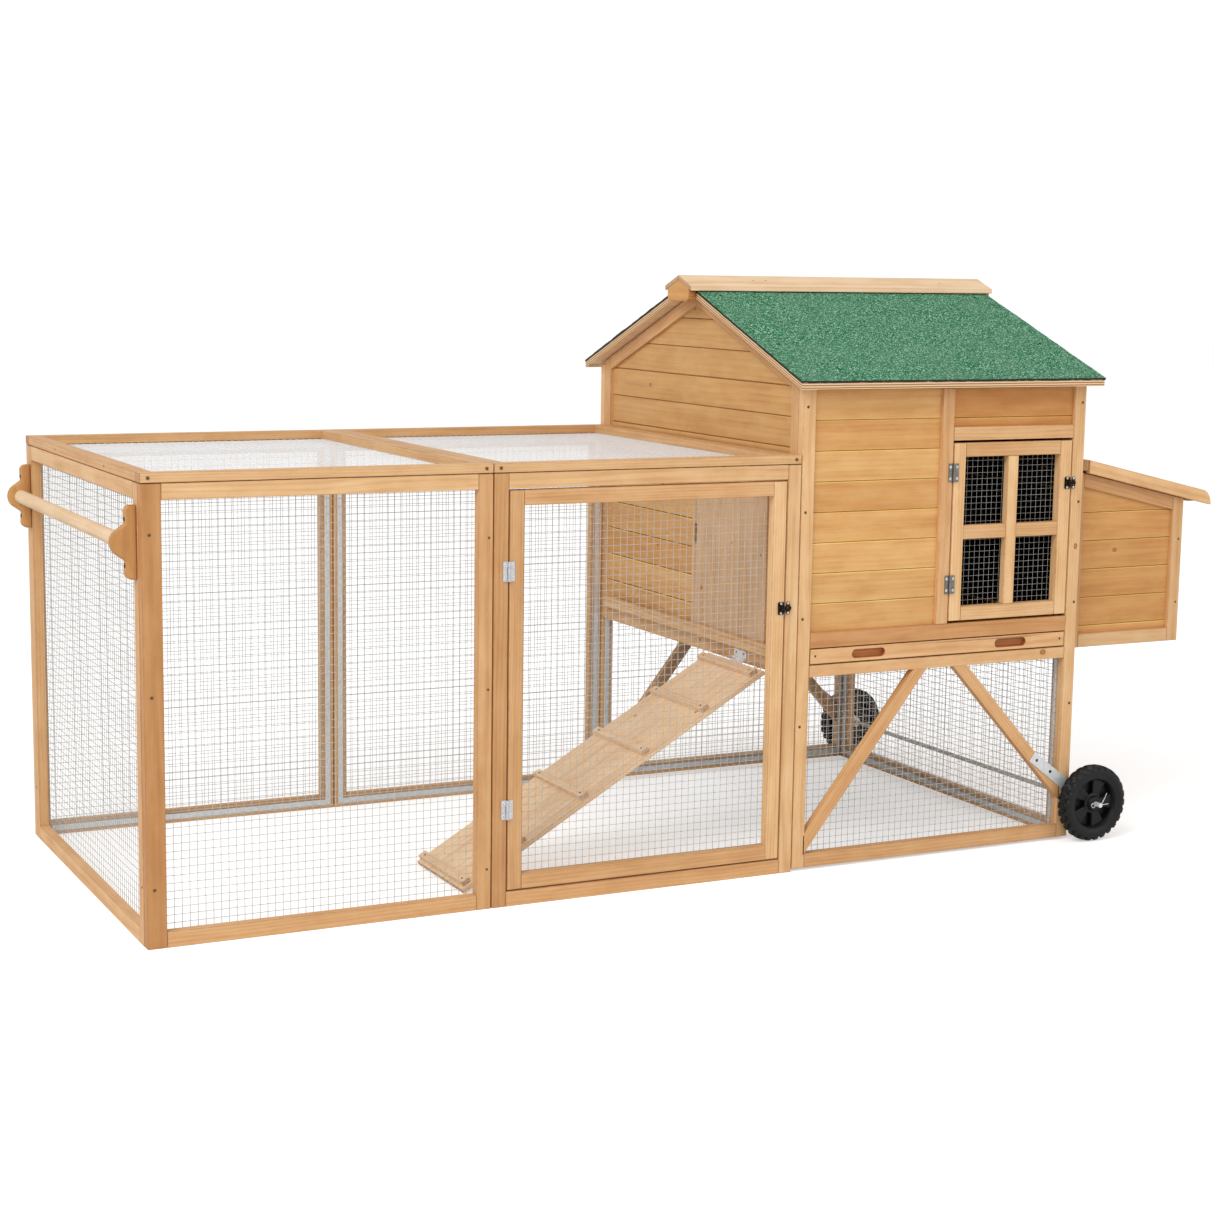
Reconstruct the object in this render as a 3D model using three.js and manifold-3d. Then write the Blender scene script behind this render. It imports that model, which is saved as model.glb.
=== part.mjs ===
// A movable wooden chicken coop: a two-bay wire run, a raised hen house with a gable roof,
// and a nest box on the far end. Millimetres, +Z up, +X from the run towards the nest box,
// -Y towards the side with the doors. The origin is at the bottom centre of the bounding box.

import * as THREE from 'three';
import { mergeVertices } from 'three/addons/utils/BufferGeometryUtils.js';
import Module from 'manifold-3d';

const wasm = await Module();
wasm.setup();

// ---------------------------------------------------------------- driving dimensions

const depth = 907;                 // outside of the run and of the house, front to back
const bay = 665;                   // length of one run bay
const wallTop = 832;               // height of the run's upright panels
const stile = 29;                  // face width of the frame timber
const ply = 20;                    // thickness of the frame timber
const roofFrame = 17.5;            // thickness of the run's two lids of mesh
const gap = 0.5;                   // clearance between pieces that only rest on each other
const wire = 0.5;                   // thickness of the mesh sheets

const houseLength = 695;
const houseLift = 6;               // the wheels carry the house just clear of the ground
const boardThick = 10;
const boardInset = 7;              // how far the boards sit behind the face of their frame
const boardPitch = 61.5;

const lowRail = [400, 424];        // the rail under the tray, on the front
const trayBand = [426, 457];
const upperRail = [459, 491];      // the rail over the tray
const headerRail = [871, 899];     // the rail over the window door

const roofSlope = THREE.MathUtils.degToRad(21);
const eaveOut = 34;                // how far the roof runs past the front and back
const eaveHeight = 998;            // top of the felt at the eave
const roofBoard = 14;
const felt = 2.5;
const gableOut = 20;               // how far the roof runs past the ends

const wheelRadius = 83;
const wheelWidth = 36;
const axleRadius = 5;
const axlePastHouse = 39;          // the axle runs this far beyond the house's end wall

const nestLength = 303;            // from the house wall to the nest's end
const nestInset = 30;
const nestBoard = 18;
const nestSlope = THREE.MathUtils.degToRad(13);
const nestBottom = 414;

// ---------------------------------------------------------------- derived places

const runLength = 2 * bay;
const houseLeft = runLength + 1;
const houseRight = houseLeft + houseLength;
const middle = depth / 2;
const axleX = houseRight + axlePastHouse;
const windowOpening = { x: [1692, 1996], z: [493, 869] };
const runDoorOpening = { x: [bay + gap + stile, runLength - stile], z: [stile, wallTop - stile] };
const nestEnd = houseRight + nestLength;
const handleReach = 46;
const lidReach = 62;               // how far the nest lid runs past the nest's end
const originX = (nestEnd + lidReach - handleReach) / 2;

const feltHeight = (y) => eaveHeight + (Math.min(y, depth - y) + eaveOut) * Math.tan(roofSlope);
const boardUnder = (y) => feltHeight(y) - (roofBoard + felt) / Math.cos(roofSlope);

// ---------------------------------------------------------------- materials

const finish = (color, roughness, metalness = 0, extra = {}) =>
  new THREE.MeshStandardMaterial({ color, roughness, metalness, ...extra });
const frameWood = finish('#d9a566', 0.6);
const boardWood = finish('#cd9150', 0.6);
const paleWood = finish('#dcb482', 0.65);
const feltGreen = finish('#2f7a5a', 0.95);
const mesh = finish('#b4b8b8', 0.4, 0.9, { transparent: true, opacity: 0.35 });
const zinc = finish('#c3c7c8', 0.35, 0.9);
const darkMetal = finish('#3a332b', 0.45, 0.8);
const blackPlastic = finish('#1b1b1c', 0.6);

// ---------------------------------------------------------------- solids and joining

function toManifold(geometry) {
  const bare = geometry.clone();
  bare.deleteAttribute('normal');
  bare.deleteAttribute('uv');
  const merged = mergeVertices(bare, 1e-4);
  return new wasm.Manifold(new wasm.Mesh({
    numProp: 3,
    vertProperties: new Float32Array(merged.attributes.position.array),
    triVerts: new Uint32Array(merged.index.array),
  }));
}

function toGeometry(manifold) {
  const out = manifold.getMesh();
  const geometry = new THREE.BufferGeometry();
  geometry.setAttribute('position', new THREE.BufferAttribute(Float32Array.from(out.vertProperties), 3));
  geometry.setIndex(new THREE.BufferAttribute(Uint32Array.from(out.triVerts), 1));
  geometry.computeVertexNormals();
  return geometry;
}

const join = (...pieces) => toGeometry(pieces.map(toManifold).reduce((a, b) => a.add(b)));
const cut = (base, ...tools) =>
  toGeometry(tools.map(toManifold).reduce((a, b) => a.subtract(b), toManifold(base)));

// A block from its two ends along each axis.
function block([x0, x1], [y0, y1], [z0, z1]) {
  const geometry = new THREE.BoxGeometry(x1 - x0, y1 - y0, z1 - z0);
  return geometry.translate((x0 + x1) / 2, (y0 + y1) / 2, (z0 + z1) / 2);
}

// A plate cut from an outline, standing in the XZ plane and spanning y0 to y1.
function plateXZ(outline, [y0, y1], curveSegments = 8) {
  const geometry = new THREE.ExtrudeGeometry(asShape(outline), {
    depth: y1 - y0, bevelEnabled: false, curveSegments,
  });
  return geometry.rotateX(Math.PI / 2).translate(0, y1, 0);
}

// A plate cut from an outline, standing in the YZ plane and spanning x0 to x1.
function plateYZ(outline, [x0, x1], curveSegments = 8) {
  const geometry = new THREE.ExtrudeGeometry(asShape(outline), {
    depth: x1 - x0, bevelEnabled: false, curveSegments,
  });
  const turn = new THREE.Matrix4().makeBasis(
    new THREE.Vector3(0, 1, 0), new THREE.Vector3(0, 0, 1), new THREE.Vector3(1, 0, 0));
  return geometry.applyMatrix4(turn).translate(x0, 0, 0);
}

function asShape(outline) {
  if (outline instanceof THREE.Shape) {
    return outline;
  }
  return new THREE.Shape(outline.map(([u, v]) => new THREE.Vector2(u, v)));
}

// A round bar along Y or X, from its centre point and its two ends.
function barY(radius, x, z, [y0, y1], sides = 20) {
  const geometry = new THREE.CylinderGeometry(radius, radius, y1 - y0, sides);
  return geometry.translate(x, (y0 + y1) / 2, z);
}

function barX(radius, y, z, [x0, x1], sides = 20) {
  const geometry = new THREE.CylinderGeometry(radius, radius, x1 - x0, sides);
  return geometry.rotateZ(Math.PI / 2).translate((x0 + x1) / 2, y, z);
}

function barZ(radius, x, y, [z0, z1], sides = 20) {
  const geometry = new THREE.CylinderGeometry(radius, radius, z1 - z0, sides);
  return geometry.rotateX(Math.PI / 2).translate(x, y, (z0 + z1) / 2);
}

// A straight strip of the given width between two points of the XZ plane.
function stripXZ([xa, za], [xb, zb], width, [y0, y1]) {
  const along = new THREE.Vector2(xb - xa, zb - za).normalize();
  const side = new THREE.Vector2(-along.y, along.x).multiplyScalar(width / 2);
  return plateXZ([
    [xa + side.x, za + side.y], [xa - side.x, za - side.y],
    [xb - side.x, zb - side.y], [xb + side.x, zb + side.y],
  ], [y0, y1]);
}

// A four-sided frame in each of the three planes: a block with its middle cut out.
function frameXZ([x0, x1], [y0, y1], [z0, z1], width = stile, endWidth = width) {
  return cut(block([x0, x1], [y0, y1], [z0, z1]),
    block([x0 + endWidth, x1 - width], [y0 - 1, y1 + 1], [z0 + width, z1 - width]));
}

function frameYZ([x0, x1], [y0, y1], [z0, z1], width = stile) {
  return cut(block([x0, x1], [y0, y1], [z0, z1]),
    block([x0 - 1, x1 + 1], [y0 + width, y1 - width], [z0 + width, z1 - width]));
}

function frameXY([x0, x1], [y0, y1], [z0, z1], width = stile) {
  return cut(block([x0, x1], [y0, y1], [z0, z1]),
    block([x0 + width, x1 - width], [y0 + width, y1 - width], [z0 - 1, z1 + 1]));
}

// ---------------------------------------------------------------- the scene

const coop = new THREE.Group();
const placed = new THREE.Group();
placed.position.set(-originX, -middle, 0);
coop.add(placed);

function add(name, geometry, material) {
  const part = new THREE.Mesh(geometry, material);
  part.name = name;
  placed.add(part);
  return part;
}

// ---------------------------------------------------------------- the wire run

const innerFront = ply + gap;
const innerBack = depth - ply - gap;
const bays = [[0, bay - gap], [bay + gap, runLength]];
const upright = [0, wallTop];

function buildRun() {
  add('run_end_frame', frameYZ([0, ply], [innerFront, innerBack], upright), frameWood);
  add('run_front_frame', frameXZ(bays[0], [0, ply], upright, stile, 36), frameWood);
  add('run_back_frame_left', frameXZ(bays[0], [depth - ply, depth], upright), frameWood);
  add('run_back_frame_right', frameXZ(bays[1], [depth - ply, depth], upright), frameWood);
  const topBand = [wallTop + gap, wallTop + gap + roofFrame];
  add('run_top_frame_left', frameXY(bays[0], [0, depth], topBand), frameWood);
  add('run_top_frame_right', frameXY(bays[1], [0, depth], topBand), frameWood);

  const inset = 8;
  const meshHeight = [inset, wallTop - inset];
  const meshFront = [innerFront + inset, innerBack - inset];
  add('run_end_mesh', block([ply + gap, ply + gap + wire], meshFront, meshHeight), mesh);
  add('run_front_mesh',
    block([ply + 12, bay - inset], [innerFront, innerFront + wire], meshHeight), mesh);
  add('run_back_mesh',
    block([ply + 12, runLength - inset], [innerBack - wire, innerBack], meshHeight), mesh);
  const topMesh = [wallTop - wire, wallTop];
  add('run_top_mesh', block([ply + 12, runLength - inset],
    [innerFront + wire + 2, innerBack - wire - 2], topMesh), mesh);
}

// ---------------------------------------------------------------- hinges and latches

const hingeHeight = 38;
const hingeLeaf = 12;
const hingePlate = 1.5;
const pinRadius = 1.6;
const knuckleRadius = 3;

// A butt hinge standing upright on a front face. The fixed leaf carries two knuckles and the
// pin; the moving leaf carries the middle knuckle, bored clear of the pin.
function uprightHinge(name, x, zCentre) {
  const y = -knuckleRadius - gap;
  const third = hingeHeight / 3;
  const z0 = zCentre - hingeHeight / 2;
  const z1 = zCentre + hingeHeight / 2;
  const plateY = [-hingePlate - 0.3, -0.3];
  const fixedLeaf = block([x - hingeLeaf, x - knuckleRadius - 0.4], plateY, [z0, z1]);
  const fixedEars = [[z0, z0 + third - 0.3], [z1 - third + 0.3, z1]].flatMap((span) => [
    barZ(knuckleRadius, x, y, span, 16),
    block([x - knuckleRadius - 1, x], plateY, span),
  ]);
  add(`${name}_fixed`, join(fixedLeaf, ...fixedEars, barZ(pinRadius, x, y, [z0, z1], 12)), zinc);
  const middleSpan = [z0 + third, z1 - third];
  const movingLeaf = join(
    block([x + knuckleRadius + 0.4, x + hingeLeaf], plateY, [z0, z1]),
    block([x, x + knuckleRadius + 1], plateY, middleSpan),
    barZ(knuckleRadius, x, y, middleSpan, 16));
  add(`${name}_moving`, cut(movingLeaf, barZ(pinRadius + 0.3, x, y, [z0 - 1, z1 + 1], 12)), zinc);
}

// A turn button: a round boss on the door's stile with a tongue that reaches over the frame.
function turnButton(name, x, z, reach) {
  const boss = barY(9, x, z, [-6.5, -0.4], 24);
  const knob = block([x - 5, x + 5], [-13, -6], [z - 1.8, z + 1.8]);
  const tongue = new THREE.Shape();
  tongue.moveTo(x, z - 6);
  tongue.lineTo(x + reach - 5, z - 5);
  tongue.absarc(x + reach - 5, z, 5, -Math.PI / 2, Math.PI / 2, false);
  tongue.lineTo(x, z + 6);
  tongue.closePath();
  add(name, join(boss, knob, plateXZ(tongue, [-4, -1.2], 6)), darkMetal);
}

// ---------------------------------------------------------------- the run door

const hingeSeam = 1.5;
const runDoorHingeX = runDoorOpening.x[0] + hingeSeam;
const runDoorHinges = [647, 190];

function buildRunDoor() {
  add('run_door_surround', frameXZ(bays[1], [0, ply], upright), frameWood);
  const x = [runDoorOpening.x[0] + 3, runDoorOpening.x[1] - 3];
  const z = [runDoorOpening.z[0] + 3, runDoorOpening.z[1] - 3];
  add('run_door_leaf', frameXZ(x, [0, ply], z), frameWood);
  add('run_door_mesh', block([x[0] + 8, x[1] - 8], [innerFront, innerFront + wire],
    [z[0] + 8, z[1] - 8]), mesh);
  uprightHinge('run_door_hinge_upper', runDoorHingeX, runDoorHinges[0]);
  uprightHinge('run_door_hinge_lower', runDoorHingeX, runDoorHinges[1]);
  turnButton('run_door_latch', runDoorOpening.x[1] - 12, 545, 24);
}

// ---------------------------------------------------------------- the handle

const rodRadius = 13.5;
const handleZ = 727;
const bracketHeight = 130;
const bracketY = 24;               // from the run's side to the outside of a bracket
const bracketThick = 20;

// Side view of a bracket: rounded shoulders above and below a deeper rounded lobe.
function bracketShape() {
  const half = bracketHeight / 2;
  const shoulder = 20;
  const lobe = 27;
  const lobeX = -handleReach + lobe;
  const shape = new THREE.Shape();
  shape.moveTo(-gap, handleZ + half);
  shape.lineTo(-shoulder + 11, handleZ + half);
  shape.absarc(-shoulder + 11, handleZ + half - 11, 11, Math.PI / 2, Math.PI, false);
  shape.lineTo(-shoulder, handleZ + 31);
  shape.absarc(lobeX, handleZ, lobe, Math.PI * 0.62, Math.PI * 1.38, false);
  shape.lineTo(-shoulder, handleZ - 31);
  shape.absarc(-shoulder + 11, handleZ - half + 11, 11, Math.PI, Math.PI * 1.5, false);
  shape.lineTo(-gap, handleZ - half);
  shape.closePath();
  return shape;
}

function buildHandle() {
  const ends = {
    front: [bracketY, bracketY + bracketThick],
    back: [depth - bracketY - bracketThick, depth - bracketY],
  };
  for (const [side, span] of Object.entries(ends)) {
    add(`handle_bracket_${side}`, plateXZ(bracketShape(), span, 12), boardWood);
  }
  const rod = barY(rodRadius, -handleReach + 25, handleZ, [ends.front[1] + gap, ends.back[0] - gap], 28);
  add('handle_rod', rod, paleWood);
}

// ---------------------------------------------------------------- the house walls

const houseBase = houseLift;
const frontWall = [0, ply];
const backWall = [depth - ply, depth];
const postX = [[houseLeft, houseLeft + stile], [houseRight - stile, houseRight]];
const innerX = [houseLeft + stile, houseRight - stile];
const postTop = boardUnder(0) - 3;
const braceWidth = 26;
const braceFoot = [houseBase + 42, houseBase + 98];
const braceLean = 275;

// The two braces under the house lean together towards the rail, like the legs of an A. The one
// beside the wheel starts higher.
function braces(span) {
  const head = lowRail[0] + 8;
  return [
    stripXZ([innerX[0] - 6, braceFoot[0]], [innerX[0] + braceLean, head], braceWidth, span),
    stripXZ([innerX[1] + 6, braceFoot[1]], [innerX[1] - braceLean, head], braceWidth, span),
  ].map((brace) => toGeometry(toManifold(brace).intersect(
    toManifold(block([innerX[0] - 4, innerX[1] + 4], span, [houseBase, lowRail[0] + 2])))));
}

// Boards with a V-groove at every joint, spanning x and z, showing their face at y.
function boarding([x0, x1], [y0, y1], [z0, z1], grooveY) {
  const grooves = [];
  const first = z1 - boardPitch;
  for (let z = first; z > z0 + 8; z -= boardPitch) {
    grooves.push(barX(2.2, grooveY, z, [x0 - 1, x1 + 1], 4));
  }
  return cut(block([x0, x1], [y0, y1], [z0, z1]), ...grooves);
}

function posts(span) {
  return postX.map((x) => block(x, span, [houseBase, postTop]));
}

function lowerRails(span) {
  const across = [houseLeft + 1, houseRight - 1];
  return [
    block(across, span, [houseBase, houseBase + stile]),
    block(across, span, lowRail),
  ];
}

// Where the roost bar lies, from wall to wall behind the boarded part of the front.
const roost = { x: [1494, 1526], z: [580, 608] };
const ledger = { x: [roost.x[0] - 8, roost.x[1] + 8], z: [roost.z[0] - 22, roost.z[0] - gap] };

function buildRoost() {
  const [x0, x1] = roost.x;
  const [z0, z1] = roost.z;
  const soft = 9;
  const shape = new THREE.Shape();
  shape.moveTo(x0, z0);
  shape.lineTo(x1, z0);
  shape.lineTo(x1, z1 - soft);
  shape.absarc(x1 - soft, z1 - soft, soft, 0, Math.PI / 2, false);
  shape.absarc(x0 + soft, z1 - soft, soft, Math.PI / 2, Math.PI, false);
  shape.closePath();
  add('roost_bar', plateXZ(shape, [innerFront + 1, innerBack - 1], 5), paleWood);
}

function buildFrontWall() {
  const midStile = [1663, 1692];
  const across = [innerX[0] - 1, innerX[1] + 1];
  const faceY = boardInset;
  const boardY = [faceY, faceY + boardThick];
  const boardTop = postTop - 12;
  add('house_front_wall', join(
    ...posts(frontWall),
    ...lowerRails(frontWall),
    ...braces([0, ply - 2]),
    block(across, frontWall, upperRail),
    block(midStile, frontWall, [upperRail[1] - 1, boardTop]),
    block([midStile[1] - 1, across[1]], frontWall, headerRail),
    boarding([across[0], midStile[0] + 1], boardY, [upperRail[1] - 1, boardTop], faceY),
    boarding([midStile[1] - 1, across[1]], boardY, [headerRail[1] - 1, boardTop], faceY),
    block(ledger.x, [boardY[1] - 1, 46], ledger.z),
  ), frameWood);
}

function buildBackWall() {
  const across = [innerX[0] - 1, innerX[1] + 1];
  const faceY = depth - boardInset;
  const boardTop = postTop - 12;
  add('house_back_wall', join(
    ...posts(backWall),
    ...lowerRails(backWall),
    ...braces([depth - ply + 2, depth]),
    block(across, backWall, upperRail),
    block(across, [depth - ply + 3, depth - boardInset], [lowRail[1] - 1, upperRail[0] + 1]),
    boarding(across, [faceY - boardThick, faceY], [upperRail[1] - 1, boardTop], faceY),
    block(ledger.x, [depth - 46, faceY - boardThick + 1], ledger.z),
  ), frameWood);
}

// Outline of an end wall above a given height, following the underside of the roof.
function gable(bottom, margin, drop) {
  const y0 = innerFront + margin;
  const y1 = innerBack - margin;
  return [
    [y0, bottom], [y1, bottom], [y1, boardUnder(y1) - drop],
    [middle, boardUnder(middle) - drop], [y0, boardUnder(y0) - drop],
  ];
}

// An end wall: an upright frame whose top rails follow the roof, filled with boards that show
// their face at faceX. Above the height step the boards lie deeper in the frame.
function endWall(x, faceX, inward, floor, step = Infinity) {
  const ring = cut(plateYZ(gable(floor, 0, 3), x),
    plateYZ(gable(floor + stile, stile, 3 + stile), [x[0] - 1, x[1] + 1]));
  const field = (face) => plateYZ(gable(floor + stile - 1, stile - 1, 2 + stile),
    inward > 0 ? [face, face + boardThick] : [face - boardThick, face]);
  const deeper = faceX + inward * (boardInset - 0.2);
  const grooves = [];
  for (let z = upperRail[1]; z < boardUnder(middle) - 2 * stile; z += boardPitch) {
    grooves.push(barY(2.2, z < step ? faceX : deeper, z, [innerFront, innerBack], 4));
  }
  if (step === Infinity) return join(ring, cut(field(faceX), ...grooves));
  const around = [innerFront, innerBack];
  const reach = [x[0] - 1, x[1] + 1];
  const lower = cut(field(faceX), block(reach, around, [step, postTop + depth]));
  const upper = cut(field(deeper), block(reach, around, [floor, step - 1]));
  return join(ring, cut(join(lower, upper), ...grooves));
}

const popHole = { y: [140, 396], z: [452, 748] };
const popDoor = { y: [116, 432], z: [446.5, 769.5], x: [houseLeft - 9.5, houseLeft - 1.5] };

function buildLeftWall() {
  const x = [houseLeft, houseLeft + ply];
  const floor = 397;
  const wall = endWall(x, houseLeft + 0.2, 1, floor, wallTop + 14);
  const tunnel = block([houseLeft - 1, houseLeft + ply + 1], popHole.y, popHole.z);
  const lining = block([houseLeft + 0.2, houseLeft + ply],
    [popHole.y[0] - 14, popHole.y[1] + 14], [floor + stile - 1, popHole.z[1] + 14]);
  const track = [66, 846];
  const guideX = [houseLeft - 17, houseLeft + 1];
  const lipX = [houseLeft - 17, popDoor.x[0] - 0.5];
  const guides = [
    block(guideX, track, [popDoor.z[0] - 16.5, popDoor.z[0] - 0.5]),
    block(lipX, track, [popDoor.z[0] - 1, popDoor.z[0] + 9]),
    block(guideX, track, [popDoor.z[1] + 0.5, popDoor.z[1] + 16.5]),
    block(lipX, track, [popDoor.z[1] - 9, popDoor.z[1] + 1]),
  ];
  const runner = block([x[1] - 1, x[1] + 16], [40, depth - 40], [408, trayBand[0] + 0.5]);
  add('house_left_wall', join(cut(join(wall, lining), tunnel), ...guides, runner), frameWood);
}

function popDoorShape() {
  const slot = [popDoor.y[1] - 14, 648];
  const panel = block(popDoor.x, popDoor.y, popDoor.z);
  const reach = [popDoor.x[0] - 1, popDoor.x[1] + 1];
  return cut(panel,
    block(reach, [slot[0] - 5, slot[0] + 5], [slot[1] - 18, slot[1] + 18]),
    barX(5, slot[0], slot[1] - 18, reach, 16),
    barX(5, slot[0], slot[1] + 18, reach, 16));
}

const nestDoorway = [
  { y: [66, middle - 22], z: [482, 730] },
  { y: [middle + 22, depth - 66], z: [482, 730] },
];

function buildRightWall() {
  const x = [houseRight - ply, houseRight];
  const floor = lowRail[0];
  const wall = endWall(x, houseRight - boardInset, -1, floor);
  const legs = [[innerFront, innerFront + stile], [innerBack - stile, innerBack]].map((y) =>
    block(x, y, [houseBase, floor + 1]));
  const foot = block(x, [innerFront + 1, innerBack - 1], [houseBase, houseBase + stile]);
  const trim = block([houseRight - boardInset - boardThick, houseRight - 1],
    [innerFront + stile - 1, innerBack - stile + 1], [upperRail[0], 760]);
  const openings = nestDoorway.map(({ y, z }) => block([x[0] - 1, x[1] + 1], y, z));
  const runner = block([x[0] - 16, x[0] + 1], [40, depth - 40], [408, trayBand[0] + 0.5]);
  const railZ = [nestHingeZ - 23, nestHingeZ];
  const hingeRail = join(
    block([houseRight + gap, houseRight + 24], [nestInset - 18, depth - nestInset + 18], railZ),
    block([houseRight - 1, houseRight + 1], [nestInset, depth - nestInset], railZ));
  add('house_right_wall', join(cut(join(wall, trim), ...openings), ...legs, foot, runner, hingeRail),
    frameWood);
}

function buildUnderHouseMesh() {
  const z = [houseBase + 9, lowRail[0] + 7];
  const outer = { x: houseRight - ply - gap, y: [innerFront, innerBack] };
  const shell = block([houseLeft + ply + 1, outer.x], outer.y, z);
  const hollow = block([houseLeft, outer.x - wire], [outer.y[0] + wire, outer.y[1] - wire],
    [z[0] - 1, z[1] + 1]);
  add('under_house_mesh', cut(shell, hollow), mesh);
}

// ---------------------------------------------------------------- the window door and the tray

function buildWindowDoor() {
  const x = [windowOpening.x[0] + 3, windowOpening.x[1] - 2];
  const z = [windowOpening.z[0] + 3, windowOpening.z[1] - 3];
  const mid = (x[0] + x[1]) / 2;
  add('window_leaf', join(
    frameXZ(x, [0, ply], z),
    block([mid - 13, mid + 13], [0, 16], [z[0] + 10, z[1] - 10]),
    block([x[0] + 10, x[1] - 10], [1, 15], [666, 695]),
  ), frameWood);
  add('window_mesh', block([x[0] + 8, x[1] - 8], [innerFront, innerFront + wire],
    [z[0] + 8, z[1] - 8]), mesh);
  const seam = windowOpening.x[0] + hingeSeam;
  uprightHinge('window_hinge_upper', seam, 805);
  uprightHinge('window_hinge_lower', seam, 573);
  turnButton('window_latch', windowOpening.x[1] - 12, 776, 22);
}

// A rounded finger slot sunk into the tray front, centred on x.
function fingerSlot(x) {
  const z = (trayBand[0] + trayBand[1]) / 2;
  const half = 31;
  const reach = [-2, 10.5];
  return [
    block([x - half, x + half], reach, [z - 9, z + 9]),
    barY(9, x - half, z, reach, 20),
    barY(9, x + half, z, reach, 20),
  ];
}

function buildTray() {
  const x = [innerX[0] + 1.5, innerX[1] - 1.5];
  const centre = (x[0] + x[1]) / 2;
  const board = block(x, [0.5, 16], [trayBand[0] + 0.5, trayBand[1]]);
  add('tray_front', cut(board, ...fingerSlot(centre - 177), ...fingerSlot(centre + 177)), frameWood);
  const pan = block([x[0] + 3, x[1] - 3], [16.4, innerBack - 6], [trayBand[0] + 1, trayBand[1] - 4]);
  const hollow = block([x[0] + 4.2, x[1] - 4.2], [17.6, innerBack - 7.2],
    [trayBand[0] + 2.2, trayBand[1]]);
  add('tray_pan', cut(pan, hollow), zinc);
}

// ---------------------------------------------------------------- the roof

const roofX = [houseLeft - gableOut - 5, houseRight + gableOut];

// A sheet lying on the roof slope, between two depths below the felt's top surface.
function slopedSheet(x, yEave, yTop, upper, lower) {
  const drop = (d) => d / Math.cos(roofSlope);
  const height = (y) => eaveHeight + (y + eaveOut) * Math.tan(roofSlope);
  return plateYZ([
    [yEave, height(yEave) - drop(lower)], [yTop, height(yTop) - drop(lower)],
    [yTop, height(yTop) - drop(upper)], [yEave, height(yEave) - drop(upper)],
  ], x);
}

const mirrored = (geometry) => {
  const flipped = toManifold(geometry).mirror([0, 1, 0]).translate([0, depth, 0]);
  return toGeometry(flipped);
};

function buildRoof() {
  const boards = slopedSheet(roofX, -eaveOut + 2, middle - gap, felt + 0.3, felt + roofBoard);
  const cover = slopedSheet([roofX[0] - 1, roofX[1] + 1], -eaveOut, middle - gap, 0, felt);
  add('roof_boards_front', boards, boardWood);
  add('roof_boards_back', mirrored(boards), boardWood);
  add('roof_felt_front', cover, feltGreen);
  add('roof_felt_back', mirrored(cover), feltGreen);

  // Two cap boards meet at the ridge; a block with cut corners closes each end under them.
  const capX = [roofX[0] - 20, roofX[1] + 14];
  const top = feltHeight(middle) + 13;
  const slope = Math.tan(roofSlope);
  const reach = 58;
  const capThick = 9.6;
  const ridgeLine = (thick) => [
    [middle - reach, top - reach * slope - thick], [middle, top - thick],
    [middle + reach, top - reach * slope - thick],
  ];
  const cap = plateYZ([...ridgeLine(capThick), ...ridgeLine(0).reverse()], capX);
  const half = 48;
  const shoulder = top - half * slope - capThick / 2;
  const blockShape = [
    [middle - half + 8, top - 55], [middle + half - 8, top - 55], [middle + half, top - 45],
    [middle + half, shoulder], [middle, top - capThick / 2], [middle - half, shoulder],
    [middle - half, top - 45],
  ];
  add('ridge_cap', join(cap,
    plateYZ(blockShape, [capX[0], roofX[0] - 1.5]),
    plateYZ(blockShape, [roofX[1] + 1.5, capX[1]])), frameWood);
}

// ---------------------------------------------------------------- the nest box

const nestHingeZ = 822;
const lidHinge = { x: houseRight + 26, z: nestHingeZ + 2.6 };
const lidTop = (x) => nestHingeZ - 1 - (x - houseRight - 28) * Math.tan(nestSlope);
const nestTop = (x) => lidTop(x) - 28.9;

function nestSideOutline(margin) {
  const x0 = houseRight + gap + margin;
  const x1 = nestEnd - margin;
  return [[x0, nestBottom + margin], [x1, nestBottom + margin],
    [x1, nestTop(x1) - margin], [x0, nestTop(x0) - margin]];
}

function nestSide(y0, faceY, inward) {
  const span = [y0, y0 + nestBoard];
  const ring = cut(plateXZ(nestSideOutline(0), span),
    plateXZ(nestSideOutline(stile), [span[0] - 1, span[1] + 1]));
  const boardY = inward > 0 ? [faceY, faceY + boardThick] : [faceY - boardThick, faceY];
  const field = plateXZ(nestSideOutline(stile - 1), boardY);
  const grooves = [];
  for (let z = upperRail[1] - boardPitch + 30; z < nestHingeZ - 2 * stile; z += boardPitch) {
    grooves.push(barX(2.2, faceY, z, [houseRight, nestEnd], 4));
  }
  return join(ring, cut(field, ...grooves));
}

function buildNest() {
  const front = nestInset;
  const back = depth - nestInset;
  add('nest_side_front', nestSide(front, front + boardInset, 1), frameWood);
  add('nest_side_back', nestSide(back - nestBoard, back - boardInset, -1), frameWood);
  const inside = [front + nestBoard + gap, back - nestBoard - gap];
  const endX = [nestEnd - nestBoard, nestEnd];
  const endTop = nestTop(endX[1]) - 1;
  add('nest_end', join(
    frameYZ(endX, inside, [nestBottom, endTop]),
    block([endX[0] + 1, endX[1] - boardInset], [inside[0] + 10, inside[1] - 10],
      [nestBottom + 10, endTop - 10]),
  ), frameWood);
  const floorX = [houseRight + gap, endX[0] - gap];
  add('nest_floor', block(floorX, inside, [nestBottom + 14, nestBottom + 26]), boardWood);
  add('nest_divider', plateXZ([
    [floorX[0], nestBottom + 26.5], [floorX[1], nestBottom + 26.5],
    [floorX[1], nestTop(floorX[1]) - 6], [floorX[0], nestTop(floorX[0]) - 6],
  ], [middle - 6, middle + 6]), boardWood);
}

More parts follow.
